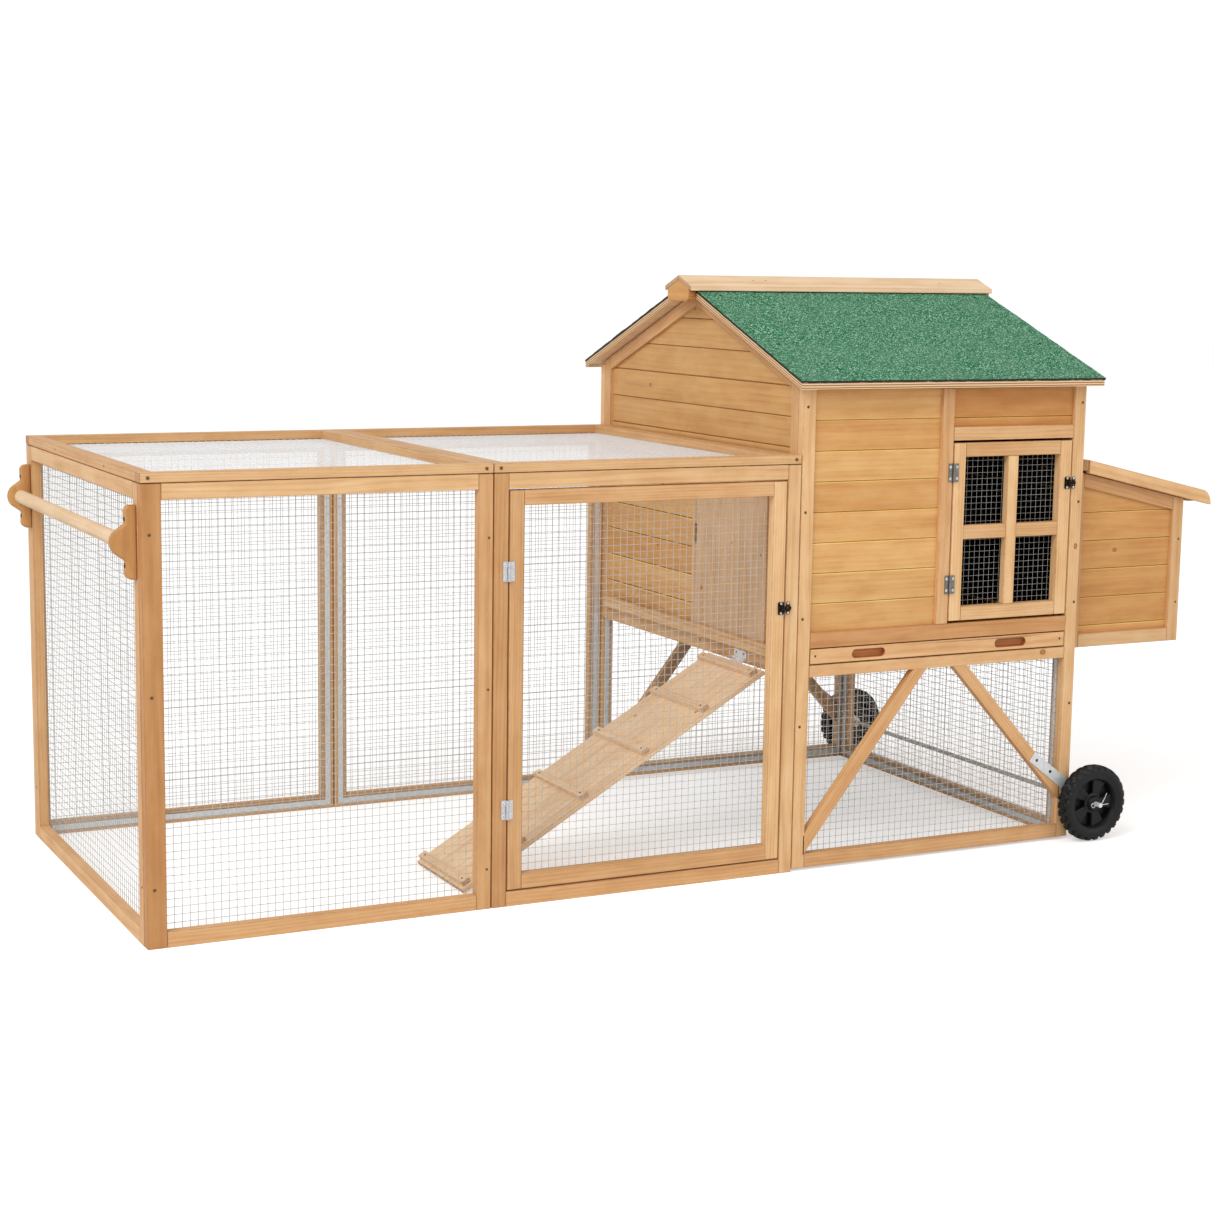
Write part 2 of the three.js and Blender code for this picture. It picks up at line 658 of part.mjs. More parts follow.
// The lid: a boarded panel between two side boards with rounded noses, closed by a nose board.
function buildLid() {
  const x0 = houseRight + 28;
  const x1 = nestEnd + lidReach;
  const side = 28;
  const outline = new THREE.Shape();
  outline.moveTo(x0, lidTop(x0) - side);
  outline.lineTo(x1, lidTop(x1) - side);
  outline.lineTo(x1, lidTop(x1) - side + 4);
  outline.quadraticCurveTo(x1 - 4, lidTop(x1 - 24) - 3, x1 - 26, lidTop(x1 - 26));
  outline.lineTo(x0, lidTop(x0));
  outline.closePath();
  const edges = [nestInset - 18, depth - nestInset + 18];
  const sideBoards = [[edges[0], edges[0] + 16], [edges[1] - 16, edges[1]]];
  const panel = plateXZ([
    [x0, lidTop(x0) - 14], [x1 - 14, lidTop(x1 - 14) - 14],
    [x1 - 14, lidTop(x1 - 14) - 4], [x0, lidTop(x0)],
  ], [edges[0] + 8, edges[1] - 8]);
  const nose = block([nestEnd + 10, nestEnd + 28], [edges[0] + 8, edges[1] - 8],
    [lidTop(nestEnd + 28) - side, lidTop(nestEnd + 28) - 8]);
  add('nest_lid', join(panel, nose, ...sideBoards.map((y) => plateXZ(outline, y, 8))), frameWood);
  buildLidHinge();
}

// A strip hinge along the top of the lid, its pin lying along Y.
function buildLidHinge() {
  const span = [120, depth - 120];
  const { x, z } = lidHinge;
  const radius = 2.2;
  const pin = 1;
  const segments = 5;
  const pitch = (span[1] - span[0]) / segments;
  const fixed = [block([x - 16, x - 1], span, [nestHingeZ + 0.3, nestHingeZ + 1.5])];
  const moving = [plateXZ([
    [x + 2.6, lidTop(x + 2.6) + 0.3], [x + 18, lidTop(x + 18) + 0.3],
    [x + 18, lidTop(x + 18) + 1.5], [x + 2.6, lidTop(x + 2.6) + 1.5]], span)];
  for (let i = 0; i < segments; i += 1) {
    const part = [span[0] + i * pitch + 0.3, span[0] + (i + 1) * pitch - 0.3];
    if (i % 2 === 0) {
      fixed.push(barY(radius, x, z, part, 12), block([x - 3, x], part, [z - radius + 0.1, z - 0.6]));
    } else {
      moving.push(barY(radius, x, z, part, 12), block([x, x + 4], part, [lidTop(x + 3) + 0.5, z - 0.6]));
    }
  }
  const fixedSolid = cut(join(...fixed.slice(0, 1)),
    ...[1, 3].map((i) => block([x - 2.8, x + 3],
      [span[0] + i * pitch, span[0] + (i + 1) * pitch], [nestHingeZ, nestHingeZ + 3])));
  add('nest_lid_hinge_fixed',
    join(fixedSolid, ...fixed.slice(1), barY(pin, x, z, span, 10)), zinc);
  add('nest_lid_hinge_moving',
    cut(join(...moving), barY(pin + 0.3, x, z, [span[0] - 1, span[1] + 1], 10),
      ...[0, 2, 4].map((i) => block([x - 3, x + 2.8],
        [span[0] + i * pitch, span[0] + (i + 1) * pitch], [nestHingeZ - 3, nestHingeZ + 6]))), zinc);
}

// ---------------------------------------------------------------- the ramp

const rampPivot = { x: houseLeft - 5, z: 405 };
const rampY = [112, 350];
const rampThick = 12;
const rampLength = 782;

function buildRamp() {
  const start = 8;
  const clear = 0.8;
  const drop = rampPivot.z - clear;
  // The board's lower corner touches the ground: length * sin + thickness * cos = drop.
  const reach = Math.hypot(rampLength, rampThick);
  const angle = Math.asin(drop / reach) - Math.atan2(rampThick, rampLength);
  const group = new THREE.Group();
  group.position.set(rampPivot.x, 0, rampPivot.z);
  group.rotation.y = -angle;
  placed.add(group);
  const cleats = [0.035, 0.2, 0.4, 0.6, 0.8, 0.98].map((share) => {
    const at = -rampLength * share;
    return block([at - 9, at + 9], [rampY[0] + 4, rampY[1] - 4], [-3.4, 7]);
  });
  const boards = block([-rampLength, -start], rampY, [-rampThick, -3]);
  const ramp = new THREE.Mesh(join(boards, ...cleats), paleWood);
  ramp.name = 'ramp';
  group.add(ramp);

  // The hinge: its fixed leaf stands on the floor beam, its moving leaf lies on the ramp.
  const centre = (rampY[0] + rampY[1]) / 2 - 4;
  const width = 50;
  const span = [centre - width / 2, centre + width / 2];
  const inner = [centre - width / 6, centre + width / 6];
  const outer = [[span[0], inner[0] - 0.3], [inner[1] + 0.3, span[1]]];
  const { x, z } = rampPivot;
  const leafX = [houseLeft - 1.8, houseLeft - 0.4];
  add('ramp_hinge_fixed', join(
    block(leafX, span, [z - 1, z + 18]),
    barY(pinRadius, x, z, span, 12),
    ...outer.flatMap((part) => [
      barY(knuckleRadius, x, z, part, 16),
      block([x, leafX[1]], part, [z - 0.8, z + 0.8]),
    ])), zinc);
  const leaf = cut(join(
    block([-18, -knuckleRadius - 0.4], span, [-2.7, -1.3]),
    block([-knuckleRadius - 1, 0], inner, [-2.7, -1.3]),
    barY(knuckleRadius, 0, 0, inner, 16),
  ), barY(pinRadius + 0.3, 0, 0, [span[0] - 1, span[1] + 1], 12));
  const moving = new THREE.Mesh(leaf, zinc);
  moving.name = 'ramp_hinge_moving';
  group.add(moving);
}

// ---------------------------------------------------------------- the wheels

function buildWheels() {
  const wheelSpan = { front: [-12 - wheelWidth, -12], back: [depth + 12, depth + 12 + wheelWidth] };
  const axleEnd = wheelWidth + 12 + 14;
  add('axle', barY(axleRadius, axleX, wheelRadius, [-axleEnd, depth + axleEnd], 20), zinc);
  for (const [side, [y0, y1]] of Object.entries(wheelSpan)) {
    add(`wheel_${side}`, wheel(y0, y1), blackPlastic);
    const outward = side === 'front' ? -1 : 1;
    const face = side === 'front' ? 0 : depth;
    const plateY = [face + outward * 0.4, face + outward * 2.9].sort((a, b) => a - b);
    add(`wheel_bracket_${side}`, wheelBracket(plateY), zinc);
    const clipAt = side === 'front' ? -axleEnd + 6 : depth + axleEnd - 6;
    add(`wheel_clip_${side}`, wheelClip(clipAt), zinc);
  }
}

// A moulded wheel: a rim and tyre turned in one, a hub, and five broad spokes between.
function wheel(y0, y1) {
  const half = (y1 - y0) / 2;
  const profile = [
    [axleRadius + 0.4, -half + 2], [17, -half + 2], [19, -6], [54, -6], [57, -half + 3],
    [66, -half], [76, -half + 4], [wheelRadius, -half + 12], [wheelRadius, half - 12],
    [76, half - 4], [66, half], [57, half - 3], [54, 6], [19, 6], [17, half - 2],
    [axleRadius + 0.4, half - 2],
  ];
  const points = [...profile, profile[0]].map(([r, y]) => new THREE.Vector2(r, y));
  const turned = new THREE.LatheGeometry(points, 40);
  const windows = [];
  for (let i = 0; i < 5; i += 1) {
    const outline = new THREE.Shape();
    const centre = (i + 0.5) * 2 * Math.PI / 5;
    const spread = 0.3;
    outline.absarc(0, 0, 50, centre - spread, centre + spread, false);
    outline.absarc(0, 0, 23, centre + spread * 0.7, centre - spread * 0.7, true);
    outline.closePath();
    windows.push(plateXZ(outline, [-10, 10], 5));
  }
  return cut(turned, ...windows).translate(axleX, (y0 + y1) / 2, wheelRadius);
}

// A flat steel strap from the brace down to the axle, with a hole the axle passes through.
function wheelBracket(span) {
  const foot = [axleX, wheelRadius];
  const head = [axleX - 141, wheelRadius + 107];
  const strap = join(stripXZ(foot, head, 24, span), barY(12, foot[0], foot[1], span, 24));
  return cut(strap, barY(axleRadius + 0.4, foot[0], foot[1], [span[0] - 1, span[1] + 1], 20));
}

// A split ring clip that stops a wheel sliding off the axle.
function wheelClip(y) {
  const ring = barY(axleRadius + 4, axleX, wheelRadius, [y - 1.2, y + 1.2], 20);
  return cut(ring, barY(axleRadius + 0.3, axleX, wheelRadius, [y - 3, y + 3], 20),
    block([axleX - 1.5, axleX + 1.5], [y - 3, y + 3], [wheelRadius, wheelRadius + 12]));
}

buildRun();
buildRunDoor();
buildHandle();
buildFrontWall();
buildBackWall();
buildRoost();
buildLeftWall();
add('pop_door', popDoorShape(), boardWood);
buildRightWall();
buildUnderHouseMesh();
buildWindowDoor();
buildTray();
buildRoof();
buildNest();
buildLid();
buildRamp();
buildWheels();

export default coop;
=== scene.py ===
"""Looks for a movable wooden chicken coop: a wire run, a raised hen house with a green felt roof,
and a nest box. Sizes inside this file are millimetres measured from the run's front left bottom
corner; Piece.build turns them into metres in the shared frame."""

import math
import random
from itertools import product

import bpy
from mathutils import Matrix, Vector
from mathutils.geometry import tessellate_polygon


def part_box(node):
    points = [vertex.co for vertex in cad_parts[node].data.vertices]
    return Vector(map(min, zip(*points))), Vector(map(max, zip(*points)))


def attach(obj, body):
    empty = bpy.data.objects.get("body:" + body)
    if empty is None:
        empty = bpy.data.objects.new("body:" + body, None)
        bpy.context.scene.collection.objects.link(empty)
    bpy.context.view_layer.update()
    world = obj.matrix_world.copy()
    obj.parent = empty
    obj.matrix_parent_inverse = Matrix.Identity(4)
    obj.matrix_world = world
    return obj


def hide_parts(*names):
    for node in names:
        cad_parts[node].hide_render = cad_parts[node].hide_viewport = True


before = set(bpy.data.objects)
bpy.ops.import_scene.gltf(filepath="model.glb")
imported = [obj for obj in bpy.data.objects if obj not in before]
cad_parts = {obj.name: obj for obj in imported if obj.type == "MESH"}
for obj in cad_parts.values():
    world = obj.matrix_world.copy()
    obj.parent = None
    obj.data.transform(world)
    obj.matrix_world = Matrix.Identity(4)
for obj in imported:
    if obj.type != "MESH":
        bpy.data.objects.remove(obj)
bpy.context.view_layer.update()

# ---------------------------------------------------------------- the shared frame

CORNER = Vector((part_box("run_end_frame")[0].x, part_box("run_front_frame")[0].y, 0.0))
X, Y, Z = 0, 1, 2


def span(node):
    """The lowest and highest corner of a CAD node, in millimetres from the run's corner."""
    low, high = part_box(node)
    return (low - CORNER) * 1000, (high - CORNER) * 1000


# ---------------------------------------------------------------- driving sizes

STILE = 29.0                  # face width of the frame timber
CORNER_STILE = 36.0           # the run's front left post
TIMBER = 20.0                 # thickness of the frame timber
EDGE = 0.9                    # rounding of a timber's edges
REVEAL = 0.8                  # how far a frame stays inside its CAD box, so that joints show
BOARD = 10.0
INSET = 7.0                   # how far boards sit behind the face of their frame
PITCH = 61.5                  # height of one board
LEAST_BOARD = 4.0             # no board is cut narrower than this
GROOVE = 2.1                  # bevel along both edges of a board
SEAM = 0.9                    # open joint between two boards
WALL_SEAM = 1.8               # the same on the end walls, below the left wall's gable
TONGUE = 3.0                  # a board's tongue closes the joint behind
TONGUE_HALF = 1.2             # half the thickness of a tongue
JOINT_SHADE = (0.4, 1.0)       # painted shade: what shows in the joint is darkened, as the shadow in it
BRACE = 26.0                  # width of the braces under the house

WIRE_PITCH = 14.5             # squares of the run's mesh
FINE_PITCH = 12.7             # squares of the window's mesh
WIRE = 0.56                   # radius of a wire in the run's mesh
FINE_WIRE = 0.3               # radius of a wire in the window's mesh
STRIP = 12.0                  # width of the galvanised edging strips
LID_STRIP = 7.5               # and of those under the run's top
STRIP_THICK = 0.7
STAPLE_GAP = 85.0
MESH_INSET = 8.5              # from a frame's outside to the edge of its mesh

DEPTH = span("run_back_frame_left")[1].y
RUN_TOP = span("run_top_frame_left")[1].z
HOUSE_LEFT = span("house_front_wall")[0].x
HOUSE_RIGHT = span("house_front_wall")[1].x
HOUSE_BASE = span("house_front_wall")[0].z
POST_TOP = span("house_front_wall")[1].z
MIDDLE = DEPTH / 2
INNER_FRONT = span("run_end_frame")[0].y
INNER_BACK = span("run_end_frame")[1].y
GABLE_STEP = RUN_TOP - 6      # above it the left wall's boards lie deeper in their frame

LOW_RAIL = (400.0, 424.0)     # heights of the rails
UPPER_RAIL = (459.0, 491.0)
HEADER_RAIL = (871.0, 899.0)
BEARER = (408.0, 426.0)       # the runners that carry the tray
MID_STILE = (1663.0, 1692.0)  # beside the window
POP_HOLE_Y = (140.0, 396.0)
POP_HOLE_Z = (452.0, 737.0)
ROOF_SLOPE = math.radians(21)
EAVE_OUT = 34.0
EAVE_HEIGHT = 998.0
FELT = 2.5
ROOF_BOARD = 14.0
NEST_SLOPE = math.radians(13)
NEST_HINGE_Z = 822.0
NEST_INSET = 30.0
NEST_END = span("nest_end")[1].x
NEST_JOINT = 30.0             # the nest's boards start this far above the house's seams
WHEEL_RADIUS = (span("wheel_front")[1].z - span("wheel_front")[0].z) / 2
AXLE_X = (span("axle")[0].x + span("axle")[1].x) / 2
AXLE_RADIUS = (span("axle")[1].x - span("axle")[0].x) / 2


def roof_height(reach):
    """Height of the felt's upper face, reach behind the house's front or back."""
    return EAVE_HEIGHT + (reach + EAVE_OUT) * math.tan(ROOF_SLOPE)


def under_roof(y):
    return roof_height(min(y, DEPTH - y)) - (ROOF_BOARD + FELT) / math.cos(ROOF_SLOPE)


# ---------------------------------------------------------------- materials


def srgb(red, green, blue):
    """A screen colour, 0 to 255, as the linear colour the shaders use."""
    linear = [c / 255 / 12.92 if c <= 10 else ((c / 255 + 0.055) / 1.055) ** 2.4
              for c in (red, green, blue)]
    return (*linear, 1.0)


class Value:
    """A node's output. Sums and products of values make math nodes."""

    def __init__(self, recipe, socket):
        self.recipe = recipe
        self.socket = socket

    def __add__(self, other):
        return self.recipe.math("ADD", self, other)

    def __sub__(self, other):
        return self.recipe.math("SUBTRACT", self, other)

    def __rsub__(self, other):
        return self.recipe.math("SUBTRACT", other, self)

    def __mul__(self, other):
        return self.recipe.math("MULTIPLY", self, other)

    def __truediv__(self, other):
        return self.recipe.math("DIVIDE", self, other)


class Recipe:
    """One node material, with short calls for the nodes it needs."""

    def __init__(self, name, roughness=0.5, metallic=0.0):
        self.material = bpy.data.materials.new(name)
        self.material.use_nodes = True
        self.tree = self.material.node_tree
        self.surface = self.tree.nodes["Principled BSDF"]
        self.set("Roughness", roughness)
        self.set("Metallic", metallic)

    def put(self, socket, value):
        if isinstance(value, Value):
            self.tree.links.new(value.socket, socket)
        else:
            socket.default_value = value

    def set(self, socket, value):
        self.put(self.surface.inputs[socket], value)

    def node(self, kind, inputs, output=0, **settings):
        """A new node, and the output of it that is wanted."""
        made = self.tree.nodes.new(kind)
        for key, value in settings.items():
            setattr(made, key, value)
        for key, value in inputs.items():
            self.put(made.inputs[key], value)
        return Value(self, made.outputs[output])

    def math(self, operation, a, b=0.0, clamp=False):
        return self.node("ShaderNodeMath", {0: a, 1: b}, operation=operation, use_clamp=clamp)

    def join(self, x, y, z):
        return self.node("ShaderNodeCombineXYZ", {0: x, 1: y, 2: z})

    def split(self, vector):
        parts = self.node("ShaderNodeSeparateXYZ", {0: vector}).socket.node
        return [Value(self, socket) for socket in parts.outputs]

    def field(self, name):
        """One of the FIELDS that the mesh carries."""
        return self.node("ShaderNodeAttribute", {}, "Vector", attribute_name=name)

    def place(self):
        """The point on the piece, in metres, which moves with the piece."""
        return self.node("ShaderNodeTexCoord", {}, "Object")

    def noise(self, vector, scale, detail=2.0, roughness=0.5):
        inputs = {"Vector": vector, "Scale": scale, "Detail": detail, "Roughness": roughness}
        return self.node("ShaderNodeTexNoise", inputs)

    def cells(self, vector, scale, output="Color"):
        return self.node("ShaderNodeTexVoronoi", {"Vector": vector, "Scale": scale}, output)

    def ramp(self, value, stops):
        made = self.node("ShaderNodeValToRGB", {0: value})
        elements = made.socket.node.color_ramp.elements
        while len(elements) < len(stops):
            elements.new(0.5)
        for element, (position, colour) in zip(elements, stops):
            element.position = position
            element.color = colour
        return made

    def mix(self, share, a, b, blend="MIX"):
        return self.node("ShaderNodeMix", {0: share, 6: a, 7: b}, 2, data_type="RGBA", blend_type=blend)

    def tint(self, a, b):
        return self.mix(1.0, a, b, "MULTIPLY")

    def fade(self, value, start, end, low=0.0, high=1.0):
        """A smooth step from low to high as value goes from start to end."""
        inputs = {0: value, 1: start, 2: end, 3: low, 4: high}
        return self.node("ShaderNodeMapRange", inputs, interpolation_type="SMOOTHSTEP")

    def bump(self, height, distance, strength=1.0):
        inputs = {"Height": height, "Distance": distance, "Strength": strength}
        self.set("Normal", self.node("ShaderNodeBump", inputs))


def wood(name, pale, middle, deep, ring_gap=0.0055, figure=1.0, roughness=0.5):
    """Planed softwood. The mesh carries each timber's own grain frame in its fields."""
    m = Recipe(name)
    along, across, through = m.split(m.field("grain"))
    local = m.split(m.field("local"))
    half = m.split(m.field("half"))
    bright, warm, inside_shade = m.split(m.field("tone"))
    knot_x, knot_y, knot_size = m.split(m.field("knot"))

    def drawn_out(lengthwise, crosswise):
        """Where to read a pattern that is stretched along the grain."""
        return m.join(along * lengthwise, across * crosswise, through * crosswise)

    # One round knot on the timber's face; the growth rings bend round it.
    away_x = (local[0] - knot_x) * 0.75
    away_y = local[1] - knot_y
    distance = m.math("SQRT", away_x * away_x + away_y * away_y) / m.math("MAXIMUM", knot_size, 0.0001)
    pull = m.fade(distance, 0.0, 3.2, 1.0, 0.0)
    inside = m.fade(distance, 0.75, 1.05, 1.0, 0.0)
    rim = m.fade(distance, 0.6, 0.9) * m.fade(distance, 0.95, 1.35, 1.0, 0.0)

    # Growth rings round a far pith, wandering slowly along the timber.
    wander = m.noise(drawn_out(1.5, 7.0), 1.0, 2.0)
    radius = m.math("SQRT", across * across + through * through) + wander * 0.022
    radius = radius + pull * (knot_size * 1.1)
    turns = radius * (2 * math.pi / ring_gap)
    ring = m.math("POWER", m.math("SINE", turns) * 0.5 + 0.5, 2.2)
    fine = m.math("SINE", turns * 2.63) * 0.5 + 0.5

    # Fibres, broad bands of colour, and pale clouds where the planed face catches the light.
    fibre = m.noise(drawn_out(9.0, 420.0), 1.0, 3.0, 0.6)
    band = m.noise(drawn_out(2.4, 60.0), 1.0, 1.0)
    cloud = m.fade(m.noise(drawn_out(11.0, 26.0), 1.0, 3.0, 0.6), 0.3, 0.7)
    shade = ring * (0.14 * figure) + fine * (0.04 * figure) + fibre * 0.40 + band * 0.42 + cloud * -0.18
    shade = m.math("ADD", shade, 0.08, clamp=True)
    colour = m.ramp(shade, [(0.15, pale), (0.45, middle), (0.85, deep)])
    colour = m.mix(warm, colour, m.tint(colour, (0.80, 0.62, 0.47, 1.0)))
    colour = m.tint(colour, m.join(bright, bright, bright))

    # Edges are darker in patches, partly as wear and partly as painted shade along the seams. The ends of
    # each timber are darkened too, as painted shade in the joint where they meet the next.
    gap_x, gap_y, gap_z = [reach - m.math("ABSOLUTE", at) for reach, at in zip(half, local)]
    lesser = m.math("MINIMUM", gap_x, gap_y)
    greater = m.math("MAXIMUM", gap_x, gap_y)
    to_edge = m.math("MAXIMUM", lesser, m.math("MINIMUM", greater, gap_z))
    patches = m.fade(m.noise(m.field("grain"), 90.0, 2.0), 0.25, 0.6)
    wear_and_seam_shade = m.fade(to_edge, 0.0003, 0.0014, 1.0, 0.0) * patches
    edge_dark_colour = m.tint(deep, (0.55, 0.45, 0.36, 1.0))
    colour = m.mix(wear_and_seam_shade * 0.55, colour, edge_dark_colour)
    # Painted shade: each timber darkens towards its ends, for the shadow in the joint.
    colour = m.mix(m.fade(gap_x, 0.0005, 0.0013, 0.55, 0.0), colour, edge_dark_colour)
    colour = m.mix(inside * 0.75, colour, srgb(176, 106, 58))
    colour = m.mix(rim * 0.7, colour, srgb(108, 58, 28))
    # Painted shade: faces that look into the house are near black, for its unlit inside.
    colour = m.mix(inside_shade, colour, m.mix(fibre, srgb(24, 19, 15), srgb(12, 10, 8)))

    m.set("Base Color", colour)
    m.set("Roughness", fibre * 0.22 + (roughness - 0.1))
    m.set("Specular IOR Level", 0.3)
    m.bump(fibre * 0.6 + ring * 0.25, 0.0005, 0.3)
    return m.material


def plywood_edge(name):
    """The rim of the roof boards: thin plies, alternately face grain and end grain."""
    ply_pair = 0.0046
    m = Recipe(name, roughness=0.65)
    _, _, depth = m.split(m.field("local"))
    place = m.place()
    waver = m.noise(place, 25.0, 3.0) * 0.0016
    layer = m.fade(m.math("SINE", (depth + waver) * (2 * math.pi / ply_pair)), -0.35, 0.45)
    speckle = m.noise(place, 420.0, 3.0, 0.7)
    light = m.mix(speckle, srgb(243, 214, 172), srgb(226, 188, 140))
    dark = m.mix(speckle, srgb(178, 126, 80), srgb(136, 90, 54))
    m.set("Base Color", m.mix(layer, light, dark))
    m.bump(layer + speckle, 0.0006, 0.5)
    return m.material


def green_felt(name):
    """Mineral felt: coarse coloured granules pressed into bitumen."""
    granules_per_metre = 530.0
    m = Recipe(name, roughness=0.93)
    place = m.place()
    pick, second, _ = m.split(m.cells(place, granules_per_metre))
    granule = m.ramp(pick, [
        (0.0, srgb(8, 50, 30)), (0.3, srgb(36, 106, 70)), (0.6, srgb(62, 134, 93)),
        (0.84, srgb(114, 172, 136)), (0.97, srgb(196, 228, 205)),
    ])
    patch = m.noise(place, 9.0, 4.0, 0.6)
    granule = m.mix(m.fade(patch, 0.35, 0.7, 0.0, 0.3), granule, srgb(102, 142, 116))
    bare = m.fade(m.noise(place, 260.0, 3.0, 0.7), 0.32, 0.42, 0.6, 0.0)
    m.set("Base Color", m.mix(bare, granule, srgb(20, 50, 36)))
    m.set("Specular IOR Level", 0.15)
    lumps = m.cells(place, granules_per_metre, "Distance")
    m.bump(lumps * -1.0 + second * 0.5, 0.0011, 0.6)
    return m.material


def bitumen(name):
    m = Recipe(name, roughness=0.7)
    crumbs = m.noise(m.place(), 380.0, 3.0, 0.7)
    m.set("Base Color", m.mix(m.fade(crumbs, 0.4, 0.7), srgb(14, 15, 14), srgb(34, 46, 38)))
    m.bump(crumbs, 0.0008, 0.6)
    return m.material


def zinc(name, light, dark, roughness=0.34, spangle=240.0, metallic=0.92):
    """Zinc-plated steel with a faint crystal pattern and small marks."""
    m = Recipe(name, metallic=metallic)
    place = m.place()
    crystal, _, _ = m.split(m.cells(place, spangle))
    marks = m.noise(place, 160.0, 4.0, 0.65)
    m.set("Base Color", m.mix(crystal * 0.45 + marks * 0.55, light, dark))
    m.set("Roughness", marks * 0.25 + (roughness - 0.1))
    m.bump(marks, 0.0002, 0.25)
    return m.material


def antique_metal(name):
    """Dark bronzed metal, rubbed bright in small scattered patches."""
    m = Recipe(name, metallic=0.9)
    rub = m.noise(m.place(), 420.0, 3.0, 0.6)
    m.set("Base Color", m.ramp(rub, [
        (0.35, srgb(20, 17, 13)), (0.62, srgb(48, 40, 30)), (0.8, srgb(196, 184, 160))]))
    m.set("Roughness", m.fade(rub, 0.4, 0.8, 0.36, 0.18))
    m.bump(rub, 0.0003, 0.4)
    return m.material


def moulded_plastic(name, dull, dusty):
    m = Recipe(name)
    place = m.place()
    dust = m.noise(place, 35.0, 4.0, 0.6)
    m.set("Base Color", m.mix(m.fade(dust, 0.4, 0.8, 0.0, 0.6), dull, dusty))
    m.set("Specular IOR Level", 0.35)
    m.set("Roughness", m.fade(dust, 0.3, 0.8, 0.40, 0.58))
    m.bump(m.noise(place, 900.0, 2.0), 0.0002, 0.35)
    return m.material


PINE = wood("pine", srgb(237, 201, 154), srgb(224, 180, 129), srgb(196, 145, 93))
BOARD_WOOD = wood("pine_board", srgb(232, 190, 130), srgb(221, 170, 106), srgb(192, 134, 76),
                  ring_gap=0.0085, figure=0.55)
# Painted highlight: the bevels along the boards' edges are a paler yellow, for the light they catch.
GROOVE_HIGHLIGHT_WOOD = wood("board_groove_highlight", srgb(252, 226, 152), srgb(242, 202, 122), srgb(214, 164, 92))
PALE_WOOD = wood("pale_pine", srgb(243, 220, 190), srgb(234, 205, 168), srgb(206, 168, 126),
                 ring_gap=0.009, roughness=0.6)
WARM_WOOD = wood("warm_pine", srgb(216, 172, 116), srgb(205, 157, 98), srgb(172, 120, 70))
SHADED_WOOD = wood("shaded_pine", srgb(200, 130, 76), srgb(176, 108, 60), srgb(140, 82, 42))
PLY_EDGE = plywood_edge("plywood_edge")
FELT_GREEN = green_felt("roof_felt")
BITUMEN = bitumen("bitumen_edge")
WIRE_METAL = zinc("welded_wire", srgb(201, 199, 194), srgb(173, 171, 167), 0.45, 90.0, 0.25)
# Painted light: a whiter copy of the same wire, for the run's top, which catches the light from above.
TOP_WIRE_LIT = zinc("top_wire_lit", srgb(254, 254, 254), srgb(238, 238, 238), 0.5, 90.0, 0.2)
STRIP_METAL = zinc("galvanised_strip", srgb(238, 241, 242), srgb(208, 212, 214), 0.48, 130.0, 0.45)
ZINC = zinc("zinc_plate", srgb(234, 236, 238), srgb(190, 194, 198))
TRAY_METAL = zinc("tray_sheet", srgb(110, 112, 114), srgb(70, 72, 74), 0.5, 60.0)
DARK_METAL = antique_metal("dark_latch")
SCREW_DARK = zinc("screw_steel", srgb(168, 140, 98), srgb(96, 76, 48), 0.42, 500.0)
HINGE_STEEL = zinc("hinge_steel", srgb(156, 154, 147), srgb(108, 106, 101), 0.36, 300.0)
BRIGHT_STEEL = zinc("bright_screw", srgb(255, 255, 255), srgb(232, 234, 236), 0.4, 300.0, 0.4)
# Near-black metal for dark screws. It is also painted shade in hollows: the cross recesses of screw heads and
# the pop door's slot.
DARK_STEEL_AND_SHADE = zinc("dark_steel_and_shade", srgb(34, 28, 22), srgb(18, 14, 12), 0.6, 500.0, 0.3)
PLASTIC = moulded_plastic("black_plastic", srgb(14, 14, 15), srgb(25, 24, 23))
# Painted shade: near black for the web that fills the wheel's openings.
WHEEL_GAP_SHADE = moulded_plastic("wheel_inside", srgb(5, 5, 5), srgb(9, 9, 9))
WALL_WOODS = [PINE, BOARD_WOOD, GROOVE_HIGHLIGHT_WOOD]


# ---------------------------------------------------------------- building pieces

FIELDS = ("grain", "local", "half", "tone", "knot")
SQUARE = ((0, 0), (1, 0), (1, 1), (0, 1))
AXES = Matrix.Identity(3)
ON_FACE = 0.1                 # a point this near a level counts as on it


def across_axes(direction):
    """Two unit vectors square to a direction."""
    w = Vector(direction).normalized()
    helper = Vector((0, 0, 1)) if abs(w.z) < 0.9 else Vector((1, 0, 0))
    u = w.cross(helper).normalized()
    return u, w.cross(u)


def point_on(face, level, u, v):
    """A point from its level along the face axis and its places on the two other axes in order."""
    point = [u, v]
    point.insert(face, level)
    return Vector(point)


def changed(point, axis, value):
    """A copy of the point with one coordinate replaced."""
    copy = point.copy()
    copy[axis] = value
    return copy


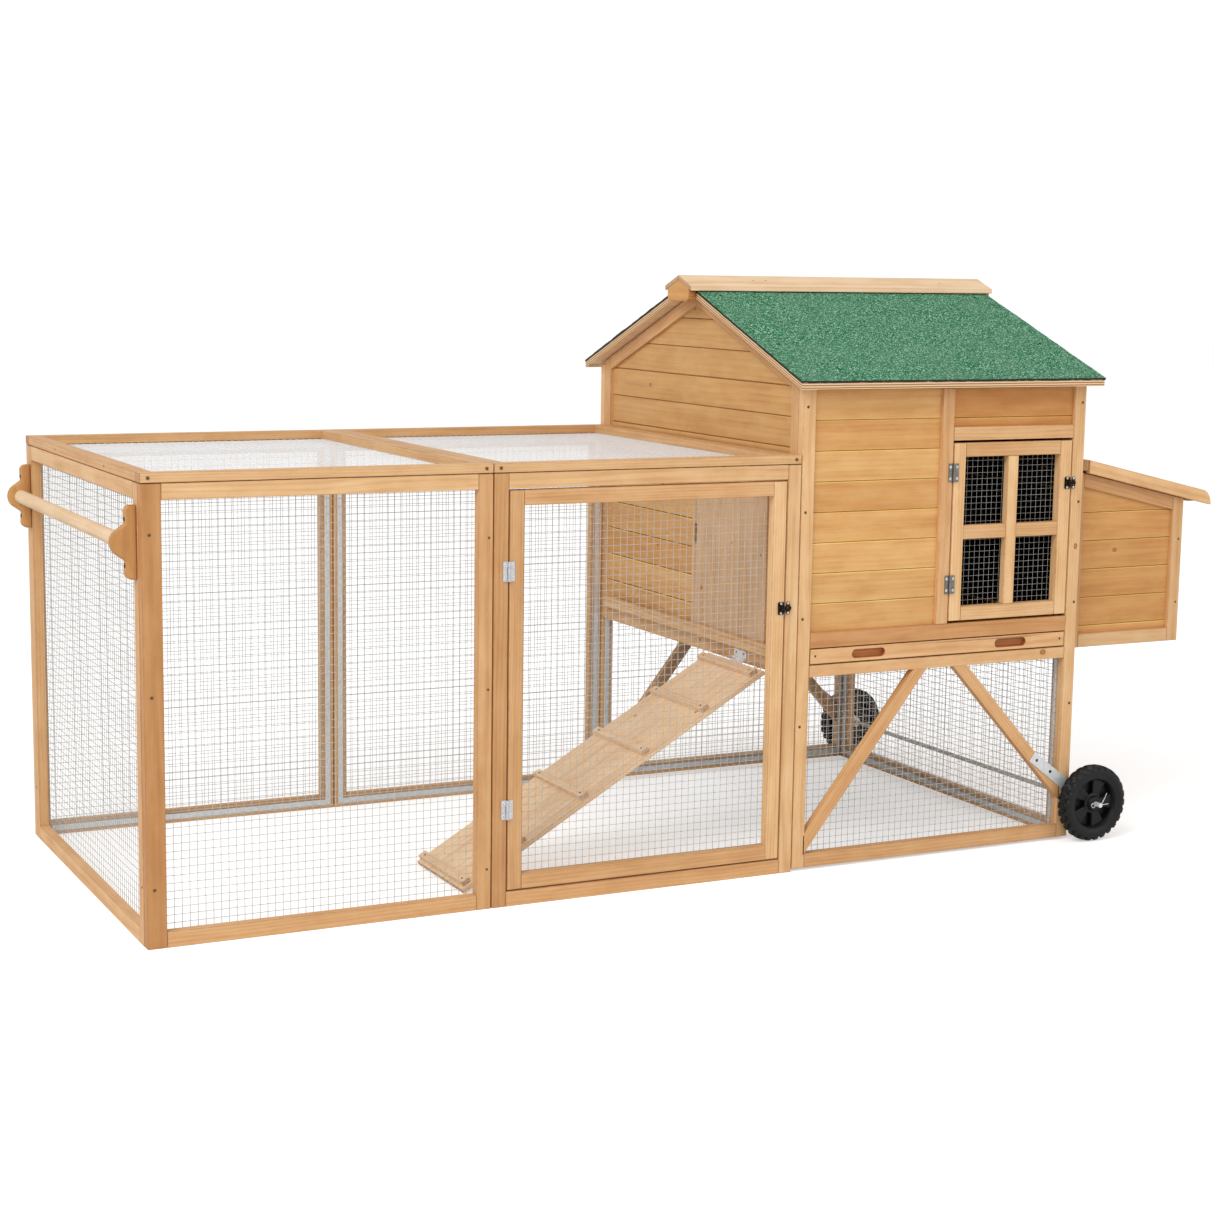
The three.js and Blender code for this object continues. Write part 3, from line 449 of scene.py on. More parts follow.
class Grain:
    """Where one timber was cut from: its own axes, its distance from the pith, its tone and knot.

    dark is an axis and some levels: points near them lie on a face that looks into the house.
    Those faces get painted shade, near black, for the unlit inside."""

    def __init__(self, rng, along, through, low, high, knots, bright, tone, dark, shade_reach):
        self.x = Vector(along).normalized()
        self.z = Vector(through).normalized()
        self.y = self.z.cross(self.x)
        self.centre = (Vector(low) + Vector(high)) / 2
        size = Vector(high) - Vector(low)
        self.half = [sum(abs(axis[i]) * size[i] for i in range(3)) / 2000
                     for axis in (self.x, self.y, self.z)]
        radial = rng.choice((0.0, 0.03, 0.06))
        self.shift = (rng.uniform(0, 20), rng.choice((-1, 1)) * (radial + rng.uniform(0, 0.02)),
                      rng.choice((-1, 1)) * rng.uniform(0.03, 0.08))
        free = (rng.uniform(0.96, 1.04), rng.uniform(0.0, 0.6))
        shade, warmth = tone or free
        self.tone = (bright * shade, warmth)
        self.dark = dark
        self.shade_reach = shade_reach
        size = rng.uniform(0.0016, 0.0042) if rng.random() < knots else 0.0
        self.knot = (self.half[0] * rng.uniform(-0.8, 0.8), self.half[1] * rng.uniform(-0.6, 0.6), size)

    def fields(self, point):
        away = Vector(point) - self.centre
        local = tuple(away.dot(axis) / 1000 for axis in (self.x, self.y, self.z))
        grain = tuple(a + b for a, b in zip(local, self.shift))
        axis, levels = self.dark or (X, ())
        unlit = float(any(abs(point[axis] - level) < self.shade_reach for level in levels))
        return grain, local, self.half, (*self.tone, unlit), self.knot


class Piece:
    """Collects closed solids for one object. node is the CAD part whose place it takes, if any."""

    def __init__(self, name, node=None, bright=1.0, dark=None):
        self.name = name
        self.node = node
        if node:
            self.low, self.high = span(node)
        self.bright = bright
        self.dark = dark
        self.rng = random.Random(name)
        self.points = []
        self.faces = []
        self.slots = []
        self.fields = {field: [] for field in FIELDS}
        self.matrix = Matrix.Identity(4)

    def grain(self, along, through, low, high, knots=0.0, tone=None, shade_reach=ON_FACE):
        return Grain(self.rng, along, through, low, high, knots, self.bright, tone, self.dark, shade_reach)

    def solid(self, points, faces, slots=0, grain=None):
        """Adds one closed solid, turned so that its faces look outwards.

        The volume of a staple or a screw head can drown in rounding, so a few of those face inwards."""
        volume = 0.0
        for face in faces:
            for i, j in zip(face[1:], face[2:]):
                volume += points[face[0]].dot(points[i].cross(points[j]))
        start = len(self.points)
        for face in faces:
            self.faces.append([start + i for i in (face if volume > 0 else face[::-1])])
        self.slots += [slots] * len(faces) if isinstance(slots, int) else slots
        blank = ((0.0, 0.0, 0.0),) * len(FIELDS)
        for point in points:
            values = grain.fields(point) if grain else blank
            for field, value in zip(FIELDS, values):
                self.fields[field].append(value)
            self.points.append(self.matrix @ point)

    def timber(self, low, high, along=None, edge=EDGE, slot=0, rim=None, knots=0.0, knot=None, tone=None):
        """A sawn block with its edges taken off. Its grain runs along its longest side.

        rim is the slot of the edges that run with the grain, on a board with grooves."""
        low, high = Vector(low), Vector(high)
        size = high - low
        if along is None:
            along = max(range(3), key=lambda axis: size[axis])
        through = min([axis for axis in range(3) if axis != along], key=lambda axis: size[axis])
        shade_reach = ON_FACE if rim is None else GROOVE + ON_FACE
        grain = self.grain(AXES[along], AXES[through], low, high, knots, tone, shade_reach)
        if knot:
            grain.knot = knot
        edge = min(edge, min(size) * 0.3)
        points, index = [], {}
        corners = list(product((0, 1), repeat=3))
        for corner in corners:
            for facing in range(3):
                point = Vector([(low, high)[side][axis] for axis, side in enumerate(corner)])
                for axis in range(3):
                    if axis != facing:
                        point[axis] += -edge if corner[axis] else edge
                index[corner, facing] = len(points)
                points.append(point)

        def at(axis, side, pair, facing):
            corner = list(pair)
            corner.insert(axis, side)
            return index[tuple(corner), facing]

        faces, slots = [], []
        for axis in range(3):
            u, v = [other for other in range(3) if other != axis]
            faces += [[at(axis, side, pair, axis) for pair in SQUARE] for side in (0, 1)]
            faces += [[at(axis, 0, pair, u), at(axis, 1, pair, u), at(axis, 1, pair, v), at(axis, 0, pair, v)]
                      for pair in SQUARE]
            slots += [slot] * 2 + [rim if rim is not None and axis == along else slot] * 4
        faces += [[index[corner, facing] for facing in range(3)] for corner in corners]
        slots += [slot] * len(corners)
        centre = (low + high) / 2
        for face in faces:
            a, b, c = (points[i] for i in face[:3])
            if (b - a).cross(c - a).dot(a - centre) < 0:
                face.reverse()
        self.solid(points, faces, slots, grain)

    def plate(self, outline, face, across, along=None, edge=EDGE, slot=0, rim=None, side=None, holes=(),
              knots=0.0, tone=None):
        """An outline square to the face axis, given a thickness, with both rims taken off.

        along is an axis or a direction. rim is the slot of the bevels, and side the slot of the
        outline's sides between them."""
        loops = [turned(outline, 1)] + [turned(hole, -1) for hole in holes]
        edge = min(edge, abs(across[1] - across[0]) * 0.35)
        insets = [shrunk(loop, edge) for loop in loops]
        levels = (across[0], across[0] + edge, across[1] - edge, across[1])
        bevel = slot if rim is None else rim
        points, faces, slots, ends = [], [], [], []
        for loop, inset in zip(loops, insets):
            start, count = len(points), len(loop)
            for level, ring in zip(levels, (inset, loop, loop, inset)):
                points += [point_on(face, level, u, v) for u, v in ring]
            for a in (start, start + count, start + 2 * count):
                for i in range(count):
                    j = (i + 1) % count
                    faces.append([a + i, a + j, a + count + j, a + count + i])
            slots += [bevel] * count + [slot if side is None else side] * count + [bevel] * count
            ends += [(start + i, start + 3 * count + i) for i in range(count)]
        insets = [[Vector((u, v, 0)) for u, v in inset] for inset in insets]
        flat = [point for inset in insets for point in inset]
        for triangle in tessellate_polygon(insets):
            a, b, c = (flat[i] for i in triangle)
            if (b - a).cross(c - a).z > 0:
                triangle = triangle[::-1]
            faces.append([ends[i][0] for i in triangle])
            faces.append([ends[i][1] for i in reversed(triangle)])
            slots += [slot, slot]
        low = [min(p[axis] for p in points) for axis in range(3)]
        high = [max(p[axis] for p in points) for axis in range(3)]
        if along is None:
            along = max([axis for axis in range(3) if axis != face], key=lambda axis: high[axis] - low[axis])
        direction = AXES[along] if isinstance(along, int) else Vector(along).normalized()
        through = AXES[Z] if abs(direction.dot(AXES[face])) > 0.9 else AXES[face]
        shade_reach = ON_FACE if rim is None else GROOVE + ON_FACE
        self.solid(points, faces, slots, self.grain(direction, through, low, high, knots, tone, shade_reach))

    def revolve(self, profile, centre, direction, steps, slot=0, closed=False, shape=None, grain=None):
        """A profile of (radius, distance along the axis) turned round the axis through centre.

        shape changes a profile point by its angle, as the blocks of a tyre do."""
        u, v = across_axes(direction)
        w = Vector(direction).normalized()
        centre = Vector(centre)
        points, rings, faces = [], [], []
        for radius, reach in profile:
            if radius == 0:
                rings.append([len(points)])
                points.append(centre + w * reach)
                continue
            ring = []
            for i in range(steps):
                angle = 2 * math.pi * i / steps
                r, h = shape(radius, reach, angle) if shape else (radius, reach)
                ring.append(len(points))
                points.append(centre + w * h + (u * math.cos(angle) + v * math.sin(angle)) * r)
            rings.append(ring)
        pairs = list(zip(rings, rings[1:]))
        if closed:
            pairs.append((rings[-1], rings[0]))
        for a, b in pairs:
            for i in range(steps):
                j = (i + 1) % steps
                if len(a) == 1:
                    faces.append([a[0], b[j], b[i]])
                elif len(b) == 1:
                    faces.append([a[i], a[j], b[0]])
                else:
                    faces.append([a[i], a[j], b[j], b[i]])
        self.solid(points, faces, slot, grain)

    def rod(self, start, end, radius, sides=16, slot=0, edge=0.0, wooden=False):
        start, end = Vector(start), Vector(end)
        length = (end - start).length
        profile = [(0, 0), (radius, 0), (radius, length), (0, length)]
        if edge:
            profile = [(0, 0), (radius - edge, 0), (radius, edge), (radius, length - edge),
                       (radius - edge, length), (0, length)]
        grain = None
        if wooden:
            around = Vector((radius, radius, radius)) * 2
            grain = self.grain(end - start, across_axes(end - start)[0], start - around, end + around)
        self.revolve(profile, start, end - start, sides, slot, grain=grain)

    def tube(self, path, radius, sides):
        """A round wire bent along a path."""
        path = [Vector(p) for p in path]
        points, faces = [], []
        last = None
        for before, here, after in zip(path[:1] + path, path, path[1:] + path[-1:]):
            w = (after - before).normalized()
            u, v = across_axes(w)
            if last is not None:
                u = (last - w * last.dot(w)).normalized()
                v = w.cross(u)
            last = u
            for k in range(sides):
                angle = 2 * math.pi * k / sides
                points.append(here + (u * math.cos(angle) + v * math.sin(angle)) * radius)
        for a in range(0, len(points) - sides, sides):
            for k in range(sides):
                n = (k + 1) % sides
                faces.append([a + k, a + n, a + sides + n, a + sides + k])
        faces.append(list(range(sides))[::-1])
        faces.append([len(points) - sides + k for k in range(sides)])
        self.solid(points, faces)

    def screw(self, at, normal, radius=3.4, slot=0, recess=1):
        """A countersunk head standing just proud. Its cross recess is two dark bars on the head: painted
        shade in place of a hollow.
        """
        at, normal = Vector(at), Vector(normal).normalized()
        turn = self.rng.uniform(0, math.pi)
        self.revolve([(0, -1.0), (radius, -1.0), (radius, 0.12), (radius * 0.86, 0.34),
                      (radius * 0.45, 0.46), (0, 0.5)], at, normal, 20, slot)
        u, v = across_axes(normal)
        for angle in (turn, turn + math.pi / 2):
            arm = (u * math.cos(angle) + v * math.sin(angle)) * radius * 0.62
            self.rod(at + normal * 0.3 - arm, at + normal * 0.3 + arm, radius * 0.14, 6, recess)

    def build(self, materials, body="root"):
        mesh = bpy.data.meshes.new(self.name)
        mesh.from_pydata([(p / 1000 + CORNER)[:] for p in self.points], [], self.faces)
        for field in FIELDS:
            layer = mesh.attributes.new(field, "FLOAT_VECTOR", "POINT")
            layer.data.foreach_set("vector", [c for value in self.fields[field] for c in value])
        for material in materials:
            mesh.materials.append(material)
        mesh.polygons.foreach_set("material_index", self.slots)
        mesh.polygons.foreach_set("use_smooth", [True] * len(mesh.polygons))
        mesh.set_sharp_from_angle(angle=math.radians(50))
        mesh.update()
        obj = bpy.data.objects.new(self.name, mesh)
        bpy.context.scene.collection.objects.link(obj)
        obj.modifiers.new("face_weighted_shading", "WEIGHTED_NORMAL").keep_sharp = True
        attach(obj, body)
        if self.node:
            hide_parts(self.node)


def turned(loop, sign):
    """The outline, running anticlockwise for sign 1 and clockwise for sign -1."""
    area = sum(a[0] * b[1] - b[0] * a[1] for a, b in zip(loop, loop[1:] + loop[:1]))
    return list(loop) if area * sign > 0 else list(loop)[::-1]


def shrunk(loop, amount):
    """The outline moved by amount towards its own left-hand side."""
    moved = []
    for i, here in enumerate(loop):
        before = Vector(here) - Vector(loop[i - 1])
        after = Vector(loop[(i + 1) % len(loop)]) - Vector(here)
        n1 = Vector((-before.y, before.x)).normalized()
        n2 = Vector((-after.y, after.x)).normalized()
        share = max(1 + n1.dot(n2), 0.3)
        moved.append(tuple(Vector(here) + (n1 + n2) * (amount / share)))
    return moved


def arc(centre, radius, start, end, steps):
    """Points of an arc, angles in degrees."""
    angles = [math.radians(start + (end - start) * i / steps) for i in range(steps + 1)]
    return [(centre[0] + radius * math.cos(a), centre[1] + radius * math.sin(a)) for a in angles]


def box_outline(low, high):
    return [(low[0], low[1]), (high[0], low[1]), (high[0], high[1]), (low[0], high[1])]


# ---------------------------------------------------------------- frames, wire mesh and edging


def add_frame(piece, face, stile_axis, first=STILE, tones=(None,) * 4):
    """Two stiles the whole way along one axis, and two rails between them.

    tones are (brightness, warmth) of the two stiles and the two rails, or None."""
    low, high = piece.low, piece.high
    rail_axis = 3 - face - stile_axis
    inner_low = changed(low, rail_axis, low[rail_axis] + first)
    inner_high = changed(high, rail_axis, high[rail_axis] - STILE)
    piece.timber(low, changed(high, rail_axis, inner_low[rail_axis]), tone=tones[0])
    piece.timber(changed(low, rail_axis, inner_high[rail_axis]), high, tone=tones[1])
    piece.timber(inner_low, changed(inner_high, stile_axis, low[stile_axis] + STILE), tone=tones[2])
    piece.timber(changed(inner_low, stile_axis, high[stile_axis] - STILE), inner_high, tone=tones[3])


def build_frame(node, face, stile_axis, body="root", first=STILE, tones=(None,) * 4):
    piece = Piece(node + "_timber", node)
    rail_axis = 3 - face - stile_axis
    piece.low[rail_axis] += REVEAL
    piece.high[rail_axis] -= REVEAL
    if stile_axis == Z:
        piece.high[Z] -= REVEAL
    add_frame(piece, face, stile_axis, first, tones)
    piece.build([PINE], body)


def add_wires(piece, face, level, inward, us, vs, pitch, radius):
    """Welded wires over a rectangle, in two crossing layers; inward is +1 or -1 on the face axis."""
    for layer, (across, run) in enumerate(((us, vs), (vs, us))):
        count = int((across[1] - across[0]) / pitch)
        first = (across[0] + across[1] - count * pitch) / 2
        depth = level + inward * radius * (1 + layer * 1.7)
        for i in range(count + 1):
            a = first + i * pitch + piece.rng.uniform(-0.15, 0.15)
            b = a + piece.rng.uniform(-0.15, 0.15)
            ends = [(a, run[0]), (b, run[1])] if layer == 0 else [(run[0], a), (run[1], b)]
            piece.rod(*[point_on(face, depth, u, v) for u, v in ends], radius, 6)


def add_strips(piece, face, level, inward, us, vs, width, sides):
    """Galvanised edging strips just inside a rectangle's sides, stapled down."""
    base = level + inward * 2.7 * WIRE
    depth = sorted((base, base + inward * STRIP_THICK))
    top = depth[1] + 0.2 if inward > 0 else depth[0] - 0.2
    strips = {
        "l": ((us[0], us[0] + width), vs), "r": ((us[1] - width, us[1]), vs),
        "b": ((us[0] + width, us[1] - width), (vs[0], vs[0] + width)),
        "t": ((us[0] + width, us[1] - width), (vs[1] - width, vs[1])),
    }
    for key in sides:
        (u0, u1), (v0, v1) = strips[key]
        piece.timber(point_on(face, depth[0], u0, v0), point_on(face, depth[1], u1, v1), edge=0.2)
        upright = v1 - v0 > u1 - u0
        length = (v1 - v0) if upright else (u1 - u0)
        count = max(int(length / STAPLE_GAP), 1)
        for i in range(count):
            share = (i + 0.5) / count * length + piece.rng.uniform(-14, 14)
            tilt = piece.rng.uniform(-0.6, 0.6)
            u, v = ((u0 + u1) / 2, v0 + share) if upright else (u0 + share, (v0 + v1) / 2)
            leg_u, leg_v = math.sin(tilt) * 4.5, math.cos(tilt) * 4.5
            piece.rod(*[point_on(face, top, u + s * leg_u, v + s * leg_v) for s in (-1, 1)], 0.6, 6)


def build_mesh(name, node, sheets, body="root", pitch=WIRE_PITCH, radius=WIRE, metal=WIRE_METAL,
               width=STRIP):
    """The wires and edging of one or more sheets: (face, level, inward, us, vs, sides)."""
    wires = Piece(name + "_wires", node)
    edging = Piece(name + "_edging")
    for face, level, inward, us, vs, sides in sheets:
        add_wires(wires, face, level, inward, us, vs, pitch, radius)
        add_strips(edging, face, level, inward, us, vs, width, sides)
    wires.build([metal], body)
    edging.build([STRIP_METAL], body)


def inset_span(node, axis, amount=MESH_INSET):
    """A node's extent along one axis, less amount at both ends."""
    low, high = span(node)
    return low[axis] + amount, high[axis] - amount


def build_run():
    build_frame("run_end_frame", X, Z, tones=((0.97, 0.4), (0.97, 0.4), (1.0, 0.3), (0.95, 0.1)))
    build_frame("run_front_frame", Y, Z, first=CORNER_STILE,
                tones=((0.88, 1.0), (0.97, 0.5), (1.0, 0.4), (1.0, 0.0)))
    build_frame("run_back_frame_left", Y, Z)
    build_frame("run_back_frame_right", Y, Z)
    lid_tones = ((0.96, 0.1), (0.95, 0.3), (0.94, 0.4), (0.92, 0.3))
    build_frame("run_top_frame_left", Z, X, tones=lid_tones)
    build_frame("run_top_frame_right", Z, X, tones=lid_tones)
    build_frame("run_door_surround", Y, Z, tones=((0.92, 0.7), (1.0, 0.0), (1.0, 0.5), (1.0, 0.1)))
    build_frame("run_door_leaf", Y, Z, "run_door",
                tones=((0.95, 0.5), (1.05, 0.0), (0.97, 0.5), (1.0, 0.4)))

    heights = (MESH_INSET, inset_span("run_end_frame", Z)[1])
    bays = ((TIMBER + 1, inset_span("run_front_frame", X)[1]), inset_span("run_back_frame_right", X))
    depths = (INNER_FRONT + MESH_INSET, INNER_BACK - MESH_INSET)
    build_mesh("run_end", "run_end_mesh", [(X, TIMBER, 1, depths, heights, "lrbt")])
    build_mesh("run_front", "run_front_mesh", [(Y, TIMBER, 1, bays[0], heights, "lrbt")])
    build_mesh("run_back", "run_back_mesh", [(Y, INNER_BACK, -1, bays[0], heights, "rbt"),
                                             (Y, INNER_BACK, -1, bays[1], heights, "lrbt")])
    lid_depths = (TIMBER + 1.5, DEPTH - TIMBER - 1.5)
    lid_level = span("run_top_frame_left")[0].z
    # The top's wires take the whiter copy of the wire: painted light.
    build_mesh("run_top", "run_top_mesh", [(Z, lid_level, -1, bay, lid_depths, "lrbt") for bay in bays],
               metal=TOP_WIRE_LIT, width=LID_STRIP)
    door = [inset_span("run_door_leaf", axis) for axis in (X, Z)]
    build_mesh("run_door", "run_door_mesh", [(Y, TIMBER, 1, *door, "lrbt")], "run_door")


def build_handle():
    ear = 27.0
    screw_reach = 41.0
    for side in ("front", "back"):
        node = "handle_bracket_" + side
        piece = Piece(node + "_ogee", node)
        low, high = piece.low, piece.high
        centre = (low.z + high.z) / 2
        half = (high.z - low.z) / 2
        shoulder = high.x - 20
        outline = [(high.x, centre + half)]
        outline += arc((shoulder + 11, centre + half - 11), 11, 90, 180, 6)
        outline += arc((shoulder - 4, centre + 35), 5, 0, -70, 4)
        outline += arc((low.x + ear, centre), ear, 118, 242, 18)
        outline += arc((shoulder - 4, centre - 35), 5, 70, 0, 4)
        outline += arc((shoulder + 11, centre - half + 11), 11, 180, 270, 6)
        outline.append((high.x, centre - half))
        piece.plate(outline, Y, (low.y, high.y), Z, edge=2.4)
        y = (low.y + high.y) / 2
        for z in (centre + screw_reach, centre - screw_reach):
            piece.rod((shoulder + 0.6, y, z), (shoulder - 0.25, y, z), 4.2, 16, 1)
        piece.build([WARM_WOOD, DARK_STEEL_AND_SHADE])
    rod = Piece("handle_rod_round", "handle_rod", bright=0.93)
    low, high = rod.low, rod.high
    x, z = (low.x + high.x) / 2, (low.z + high.z) / 2
    rod.rod((x, low.y, z), (x, high.y, z), (high.x - low.x) / 2, 40, edge=0.8, wooden=True)
    rod.build([PALE_WOOD])


# ---------------------------------------------------------------- the house


def middle_of(levels):
    """The thin middle layer of a board, where its tongue runs."""
    centre = (levels[0] + levels[1]) / 2
    return [centre - TONGUE_HALF, centre + TONGUE_HALF]


def seam_list(first, start, top):
    """The heights between rows of boards from first to top, one PITCH apart from start."""
    seams = [first]
    while start < top - LEAST_BOARD:
        if start > first + LEAST_BOARD:
            seams.append(start)
        start += PITCH
    return seams + [top]


def add_rows(piece, us, vs, levels, tone=None):
    """Horizontal boards over a rectangle of a long wall, between two levels on the Y axis."""
    edges = seam_list(vs[0], vs[1] - PITCH * 12, vs[1])
    core = middle_of(levels)
    for low, high in zip(edges, edges[1:]):
        piece.timber((us[0] - 4, levels[0], low + SEAM), (us[1] + 4, levels[1], high), along=X, edge=GROOVE,
                     slot=1, rim=2, knots=0.1, tone=tone)
        if low > edges[0]:
            piece.timber((us[0] - 4, core[0], low - TONGUE), (us[1] + 4, core[1], low + TONGUE), along=X,
                         slot=1, tone=JOINT_SHADE)


def brace_outlines():
    """The two braces under the house lean together towards the rail, like the legs of an A."""
    outlines = []
    for edge, sign, foot in ((HOUSE_LEFT + STILE, 1, 42), (HOUSE_RIGHT - STILE, -1, 98)):
        start = Vector((edge - 6 * sign, HOUSE_BASE + foot))
        end = Vector((edge + 275 * sign, LOW_RAIL[0] + 8))
        along = (end - start).normalized()
        side = Vector((-along.y, along.x)) * BRACE / 2
        sides = []
        for corner in (start + side, start - side):
            to_post = (edge - 4 * sign - corner.x) / along.x
            to_rail = (LOW_RAIL[0] + 2 - corner.y) / along.y
            sides.append([tuple(corner + along * share) for share in (to_post, to_rail)])
        outlines.append(([sides[0][0], sides[1][0], sides[1][1], sides[0][1]], along))
    return outlines


def long_wall(node, outer, sign, add_details):
    """The front or back wall. outer is its face on the Y axis; sign points into the house."""
    piece = Piece(node + "_timber", node)
    depth = sorted((outer, outer + sign * TIMBER))
    board_depth = sorted((outer + sign * INSET, outer + sign * (INSET + BOARD)))
    inner = (HOUSE_LEFT + STILE, HOUSE_RIGHT - STILE)
    board_top = POST_TOP - 12

    def bar(us, vs, **more):
        piece.timber((us[0], depth[0], vs[0]), (us[1], depth[1], vs[1]), **more)

    bar((HOUSE_LEFT, inner[0]), (HOUSE_BASE, POST_TOP), tone=(1.03, 0.0))
    knot_height = (640 - (HOUSE_BASE + POST_TOP) / 2) / 1000
    bar((inner[1], HOUSE_RIGHT), (HOUSE_BASE, POST_TOP), knot=(knot_height, 0.003 * sign, 0.0042),
        tone=(1.0, 0.15))
    bar(inner, (HOUSE_BASE, HOUSE_BASE + STILE))
    bar(inner, LOW_RAIL, knot=(0.262, -0.004 * sign, 0.0048))
    bar(inner, UPPER_RAIL, tone=(0.98, 0.9))
    for outline, along in brace_outlines():
        piece.plate(outline, Y, sorted((outer, outer + sign * (TIMBER - 2))), (along.x, 0, along.y))
    # Faces at these depths look into the house and get painted shade, near black.
    piece.dark = (Y, (outer + sign * TIMBER, outer + sign * (INSET + BOARD)))
    add_details(piece, bar, board_depth, inner, board_top)
    roost_low, roost_high = span("roost_bar")
    ledger_y = sorted((outer + sign * (INSET + BOARD - 1), outer + sign * 46))
    piece.timber((roost_low.x - 8, ledger_y[0], roost_low.z - 22),
                 (roost_high.x + 8, ledger_y[1], roost_low.z - 0.5))
    piece.build(WALL_WOODS)


def front_details(piece, bar, board_depth, inner, board_top):
    bar(MID_STILE, (UPPER_RAIL[1], board_top))
    bar((MID_STILE[1], inner[1]), HEADER_RAIL, tone=(1.0, 0.3))
    add_rows(piece, (inner[0], MID_STILE[0]), (UPPER_RAIL[1] - 2, board_top), board_depth)
    add_rows(piece, (MID_STILE[1], inner[1]), (HEADER_RAIL[1] - 2, board_top), board_depth, (1.0, 0.95))


def back_details(piece, bar, board_depth, inner, board_top):
    add_rows(piece, inner, (UPPER_RAIL[1] - 2, board_top), board_depth)
    piece.timber((inner[0] - 3, DEPTH - TIMBER + 3, LOW_RAIL[1] - 1),
                 (inner[1] + 3, DEPTH - INSET, UPPER_RAIL[0] + 1), slot=1)


def gable_row(low, high):
    """The outline of a board across an end wall between two heights, cut to the roof's slope."""
    near = INNER_FRONT + STILE - 4
    eave = under_roof(near) - STILE + 6
    peak = under_roof(MIDDLE) - STILE + 6
    high = min(high, peak - 0.5)
    left = []
    for z in [low] + ([eave] if low + 1 < eave < high - 1 else []) + [high]:
        y = near if z <= eave else min(MIDDLE - 0.5, MIDDLE - (peak - z) / math.tan(ROOF_SLOPE))
        left.append((y, z))
    return left + [(DEPTH - y, z) for y, z in left[::-1]]


def end_wall(piece, x, board_x, inner_face, seams, gap=None, step=math.inf, sunk=0.0):
    """An end wall: posts and sloping rails with boards between them.

    gap is (low, high, ys) of an opening. The boards above step lie sunk deeper in the frame."""
    foot = piece.low.z
    drop = 3.0
    for near in (INNER_FRONT, INNER_BACK - STILE):
        far = near + STILE
        top = [(y, under_roof(y) - drop) for y in (far, near)]
        piece.plate([(near, foot), (far, foot)] + top, X, x, Z)
    for start, sign in ((INNER_FRONT + STILE, 1), (INNER_BACK - STILE, -1)):
        upper = [(y, under_roof(y) - drop) for y in (start, MIDDLE)]
        lower = [(y, z - STILE) for y, z in upper]
        piece.plate(upper + lower[::-1], X, x, (0, sign * math.cos(ROOF_SLOPE), math.sin(ROOF_SLOPE)))
    for low, high in zip(seams, seams[1:]):
        if low > under_roof(MIDDLE) - STILE - 8:
            break
        upper = low >= step
        levels = [level + sunk for level in board_x] if upper else board_x
        core = middle_of(levels)
        # The boards' inner face looks into the house and gets painted shade, near black.
        piece.dark = (X, (inner_face + sunk if upper else inner_face,))
        if gap and gap[0] < high - 1 and gap[1] > low + 1:
            ys = [INNER_FRONT + STILE - 4, *gap[2], INNER_BACK - STILE + 4]
            for y0, y1 in zip(ys[::2], ys[1::2]):
                piece.timber((levels[0], y0, low + WALL_SEAM), (levels[1], y1, high), along=Y, edge=GROOVE,
                             slot=1, rim=2, knots=0.5)
                if low > seams[0]:
                    piece.timber((core[0], y0, low - TONGUE), (core[1], y1, low + TONGUE), along=Y, slot=1,
                                 tone=JOINT_SHADE)
            continue
        tone = (piece.rng.uniform(0.91, 0.95), 0.15) if upper else None
        piece.plate(gable_row(low + (SEAM if upper else WALL_SEAM), high), X, levels, Y, edge=GROOVE, slot=1,
                    rim=1 if upper else 2, knots=0.1, tone=tone)
        if low > seams[0]:
            piece.plate(gable_row(low - TONGUE, low + TONGUE), X, core, Y, slot=1, tone=JOINT_SHADE)


def build_left_wall():
    piece = Piece("house_left_wall_timber", "house_left_wall", bright=0.94)
    door_low, door_high = span("pop_door")
    floor = piece.low.z
    x = (HOUSE_LEFT, HOUSE_LEFT + TIMBER)
    board_x = (HOUSE_LEFT + 0.2, HOUSE_LEFT + BOARD)
    seams = sorted(seam_list(floor + STILE - 2, UPPER_RAIL[1], under_roof(MIDDLE)) + [GABLE_STEP])
    lining = (POP_HOLE_Y[0] - 14, POP_HOLE_Y[1] + 14)
    end_wall(piece, x, board_x, board_x[1], seams, (*POP_HOLE_Z, lining), GABLE_STEP, INSET - 0.2)
    piece.timber((x[0], INNER_FRONT + STILE, floor), (x[1], INNER_BACK - STILE, floor + STILE), knots=1.0,
                 tone=(1.04, 0.2))
    for ys, top in (((lining[0], POP_HOLE_Y[0]), POP_HOLE_Z[1]), ((POP_HOLE_Y[1], lining[1]), POP_HOLE_Z[1]),
                    (POP_HOLE_Y, POP_HOLE_Z[0])):
        piece.timber((x[0] + 0.4, ys[0], floor + STILE), (x[1], ys[1], top))
    guide_out = HOUSE_LEFT - 17
    track = (66.0, 846.0)
    for base, lip in ((door_low.z - 16.5, (door_low.z - 1, door_low.z + 9)),
                      (door_high.z + 0.5, (door_high.z - 9, door_high.z + 1))):
        piece.timber((guide_out, track[0], base), (HOUSE_LEFT, track[1], base + 16))
        piece.timber((guide_out, track[0], lip[0]), (door_low.x - 0.5, track[1], lip[1]))
    piece.timber((x[1], 40, BEARER[0]), (x[1] + 16, DEPTH - 40, BEARER[1]))
    piece.build(WALL_WOODS)


